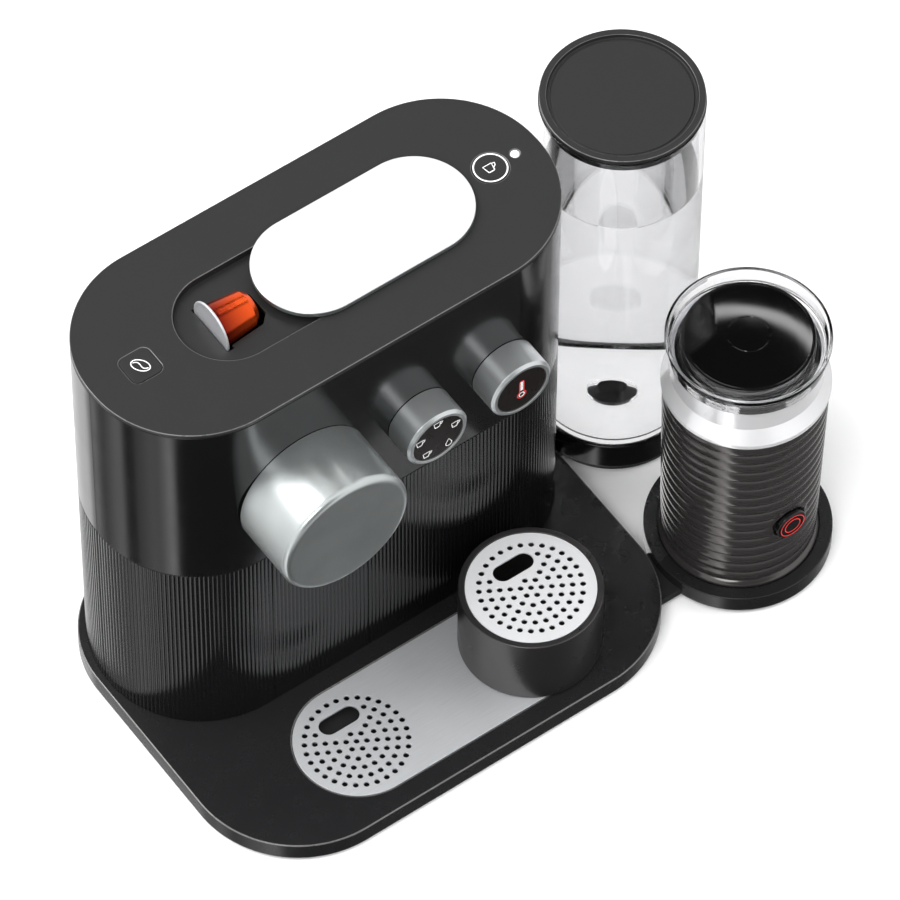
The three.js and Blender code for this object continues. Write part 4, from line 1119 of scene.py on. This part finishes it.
def make_jug():
    middle = centre("jug_shell")
    middle.z = 0
    low, high = heights("jug_shell")
    foot, bore, floor = JUG["foot"], JUG["bore"], JUG["floor"]
    side = ribbed_side(low + 5, high - 0.5, JUG["waist"], radius_of("jug_shell"))
    profile = filleted([(0, low + 7), (11.5, low + 7), (11.5, low), (foot - 1, low, 0.4),
                        (foot, low + 1, 0.5),
                        (foot, low + 3.4, 0.8)]) + side + [
        (radius_of("jug_shell") - 0.9, high), (bore, high), (bore, floor), (0, floor)]
    shell = turned("jug_shell_look", profile, middle, sides=320, sharp=60)
    button_sink(shell, middle, "frother_button")
    wear(shell, "jug_black", ["jug_shell"])

    low, high = heights("jug_neck")
    flare, inner, outer = radius_of("jug_neck"), JUG["bore"], JUG["bore"] + 2.0
    turned_node("jug_neck", "neck_steel", filleted([
        (inner, low), (flare - 0.3, low, 0.2), (flare, low + 1.2, 0.8), (flare - 0.1, low + 3, 2),
        (outer + 1.3, low + 9.5, 4),
        (outer, low + 12.5, 1), (outer, high, 0.3), (inner, high), (inner, low)], 8), sides=192)

    low, high = heights("jug_liner")
    r = radius_of("jug_liner")
    turned_node("jug_liner", "matt_black", filleted([
        (0, low), (r, low, 1), (r, high, 0.3), (r - 1.3, high, 0.3), (r - 1.3, low + 1.3, 3),
        (2, low + 1.3, 0.6),
        (2, low + 13, 0.6), (0, low + 13)]))
    low, high = heights("whisk")
    turned_node("whisk", "inner_steel", filleted([
        (2.3, low), (12, low, 0.9), (12, low + 2, 0.9), (4.5, low + 2.5, 1.5), (4.5, high, 0.5),
        (2.3, high), (2.3, low)]),
        sides=96)


def make_jug_button():
    place = centre("frother_button")
    front, rear = box("frother_button")[0].y, box("frother_button")[1].y
    r = radius_of("frother_button")
    base = Vector((place.x, rear, place.z))
    reach = rear - front
    turned_node("frother_button", "gloss_black", filleted([
        (0, 0), (r - 1.3, 0, 0.2), (r - 1.3, 1.1), (r, 1.8, 0.2), (r, reach - 0.7, 0.7),
        (r - 1.2, reach, 0.9),
        (0, reach)], 5), FORWARD, base, sides=96)
    rings = [(circle(0, 0, radius, 72), width, True) for radius, width in ((7.6, 0.55), (4.9, 0.6))]
    mark = ribbon("frother_button_mark", rings, Vector((place.x, front, place.z)), FORWARD, 0.05)
    wear(mark, "red_print_with_painted_glow", body="jug_key")


def make_jug_lid():
    low, top = heights("frother_lid_ring")
    rim = radius_of("frother_lid_ring")
    disc = JUG_LID["disc"]
    crown = box("frother_lid_disc")[1].z
    edge, funnel = crown - JUG_LID["disc_edge"], top - JUG_LID["funnel"]
    turned_node("frother_lid_ring", "clear_plastic", filleted([
        (disc + 0.3, low), (42.2, low, 0.3), (rim - 0.9, top - 4.2, 1.5), (rim, top - 2.4, 0.8),
        (rim, top, 0.6),
        (rim - 1.7, top, 0.6), (41, funnel, 1.2), (disc + 0.3, funnel - 1.2, 0.4), (disc + 0.3, low)]),
        sides=192)
    seal = box("frother_lid_disc")[0].z
    knob, shoulder = JUG_LID["knob"], disc - 2.0
    dome = [(r, crown - JUG_LID["dome"] * (r / shoulder) ** 2) for r in (shoulder, 32, 30, 27, 24, 20, 16,
                                                                         13)]
    turned_node("frother_lid_disc", "lid_black", filleted([
        (0, low), (disc - 3, low), (disc - 3, seal, 0.3), (disc, seal, 0.3), (disc, edge, 0.35),
        (disc - 1.4, edge, 0.2), (disc - 1.6, edge - 0.3)]) + dome + [
        (knob + 0.3, crown - 0.25), (knob, crown - 0.6), (knob - 0.3, crown - 0.25), (6, crown - 0.07),
        (0, crown - 0.02)],
        sides=192, sharp=25)
    low, high = heights("frother_lid_seal")
    r = radius_of("frother_lid_seal")
    lips = filleted([(disc + 0.3, low), (r - 0.3, low, 0.2), (r, low + 0.9, 0.4), (r - 0.8, low + 2.1, 0.4),
                     (r, low + 3.3, 0.4), (r - 0.8, high, 0.3), (disc + 0.3, high), (disc + 0.3, low)])
    turned_node("frother_lid_seal", "rubber", lips)


# ---- parts inside that keep their frame shape ----

INSIDE = {
    "drip_tray": "matt_black", "capsule_bin": "matt_black", "brew_frame": "matt_black",
    "injection_head": "inner_steel",
    "chassis": "matt_black", "pump": "inner_steel", "heater_block": "inner_steel",
    "hot_water_pipe": "brass",
    "water_hose": "rubber", "control_board": "circuit_board", "dial_board": "circuit_board",
    "coffee_pipe": "rubber",
}


def finish_inside():
    for node, finish in INSIDE.items():
        shown = frame["nodes"][node]
        shown.data.materials.clear()
        shown.data.materials.append(MATERIALS[finish])
        bevel = shown.modifiers.new("edges", "BEVEL")
        bevel.width = MM * 0.3
        bevel.limit_method = "ANGLE"
        bevel.angle_limit = math.radians(50)


# ---- studio ----

def make_floor():
    half = 6000
    corners = [(-half, -half, 0), (half, -half, 0), (half, half, 0), (-half, half, 0)]
    floor = add_mesh("studio_floor", corners, [(0, 1, 2, 3)])
    floor.data.materials.append(floor_paint().material)
    floor.visible_glossy = False


def make_world():
    """Studio air: white above, with bright and dark patches; dark below the horizon, with panels."""
    world = bpy.data.worlds.new("studio")
    world.use_nodes = True
    nodes, links = world.node_tree.nodes, world.node_tree.links
    place = nodes.new("ShaderNodeTexCoord").outputs["Generated"]

    def spread(source, start, end, low, high):
        node = nodes.new("ShaderNodeMapRange")
        node.interpolation_type = "SMOOTHSTEP"
        for socket, value in (("From Min", start), ("From Max", end), ("To Min", low), ("To Max", high)):
            node.inputs[socket].default_value = value
        links.new(source, node.inputs["Value"])
        return node.outputs["Result"]

    def mixed(factor, first, second):
        node = nodes.new("ShaderNodeMix")
        node.data_type = "RGBA"
        links.new(factor, node.inputs["Factor"])
        for socket, source in (("A", first), ("B", second)):
            target = next(i for i in node.inputs if i.name == socket and i.type == "RGBA")
            if isinstance(source, tuple):
                target.default_value = source
            else:
                links.new(source, target)
        return next(o for o in node.outputs if o.type == "RGBA")

    around = nodes.new("ShaderNodeTexGradient")
    around.gradient_type = "RADIAL"
    links.new(place, around.inputs["Vector"])
    ramp = nodes.new("ShaderNodeValToRGB")
    links.new(around.outputs["Fac"], ramp.inputs["Fac"])
    stops = ramp.color_ramp.elements
    stops[0].position, stops[1].position = 0.0, 1.0
    for angle, _ in PANELS[1:-1]:
        stops.new(angle / 360 + 0.5)
    for stop, (_, value) in zip(stops, PANELS):
        stop.color = (value, value, value, 1)

    def toward(direction, start, end, low, high):
        """Changes from low to high as a ray comes close to the direction."""
        node = nodes.new("ShaderNodeVectorMath")
        node.operation = "DOT_PRODUCT"
        node.inputs[1].default_value = direction
        links.new(place, node.inputs[0])
        return spread(node.outputs["Value"], start, end, low, high)

    def patched(air, way, start, full, light):
        return mixed(toward(way, start, full, 0, 1), air, light)

    above = patched(patched(SKY, *SIDE_BOX), *CLOTH)
    hoop = nodes.new("ShaderNodeMath")
    hoop.operation = "MULTIPLY"
    links.new(toward(CLOTH[0], *HOOP["outer"], 0, 1), hoop.inputs[0])
    links.new(toward(CLOTH[0], *HOOP["inner"], 1, 0), hoop.inputs[1])
    above = mixed(hoop.outputs["Value"], above, HOOP["light"])
    above = patched(patched(above, *SHADE), *SOFT_BOX)
    split = nodes.new("ShaderNodeSeparateXYZ")
    links.new(place, split.inputs["Vector"])
    air = mixed(spread(split.outputs["Z"], *HORIZON, 0, 1), ramp.outputs["Color"], above)
    path = nodes.new("ShaderNodeLightPath").outputs["Is Camera Ray"]
    links.new(mixed(path, air, (1, 1, 1, 1)), nodes["Background"].inputs["Color"])
    bpy.context.scene.world = world


def make_light(name, place, aim, width, height, power):
    lamp = bpy.data.lights.new(name, "AREA")
    lamp.shape = "RECTANGLE"
    lamp.size, lamp.size_y = MM * width, MM * height
    lamp.energy = power
    holder = bpy.data.objects.new(name, lamp)
    holder.location = MM * Vector(place)
    holder.rotation_mode = "QUATERNION"
    holder.rotation_quaternion = (Vector(aim) - Vector(place)).to_track_quat("-Z", "Y")
    holder.visible_glossy = False
    bpy.context.scene.collection.objects.link(holder)


def make_lights():
    make_light("key", (-700, -300, 1500), (0, 0, 100), 900, 900, 14)
    make_light("fill", (900, -700, 1100), (50, 0, 100), 700, 700, 6)
    make_light("rear", (-200, 1100, 1300), (0, 0, 100), 900, 500, 6)


def make_camera():
    azimuth, elevation, roll = (math.radians(CAMERA[key]) for key in ("azimuth", "elevation", "roll"))
    aim, distance = Vector(CAMERA["aim"]), CAMERA["distance"]
    back = Vector((math.sin(azimuth) * math.cos(elevation), -math.cos(azimuth) * math.cos(elevation),
                   math.sin(elevation)))
    right = Vector((math.cos(azimuth), math.sin(azimuth), 0))
    up = back.cross(right)
    tilted_right = right * math.cos(roll) + up * math.sin(roll)
    tilted_up = up * math.cos(roll) - right * math.sin(roll)
    camera = bpy.data.objects.new("camera", bpy.data.cameras.new("camera"))
    camera.data.sensor_width = CAMERA["sensor"]
    camera.data.lens = CAMERA["lens"]
    camera.data.clip_end = 50
    turn = Matrix((tilted_right, tilted_up, back)).transposed()
    camera.matrix_world = Matrix.Translation(MM * (aim + back * distance)) @ turn.to_4x4()
    bpy.context.scene.collection.objects.link(camera)
    bpy.context.scene.camera = camera


# ---- the scene ----

for step in (
    make_camera, make_world, make_lights, make_floor, make_base, make_drip_plate, make_stand,
    make_shells, make_skirt, make_inlet, make_top, make_badge, make_lid, make_button, make_outlet,
    make_dials, make_capsule, make_arm, make_dock, make_tank, make_tank_lid, make_frother_base,
    make_jug, make_jug_button, make_jug_lid, finish_inside,
):
    step()
bpy.context.scene.view_settings.view_transform = "Standard"
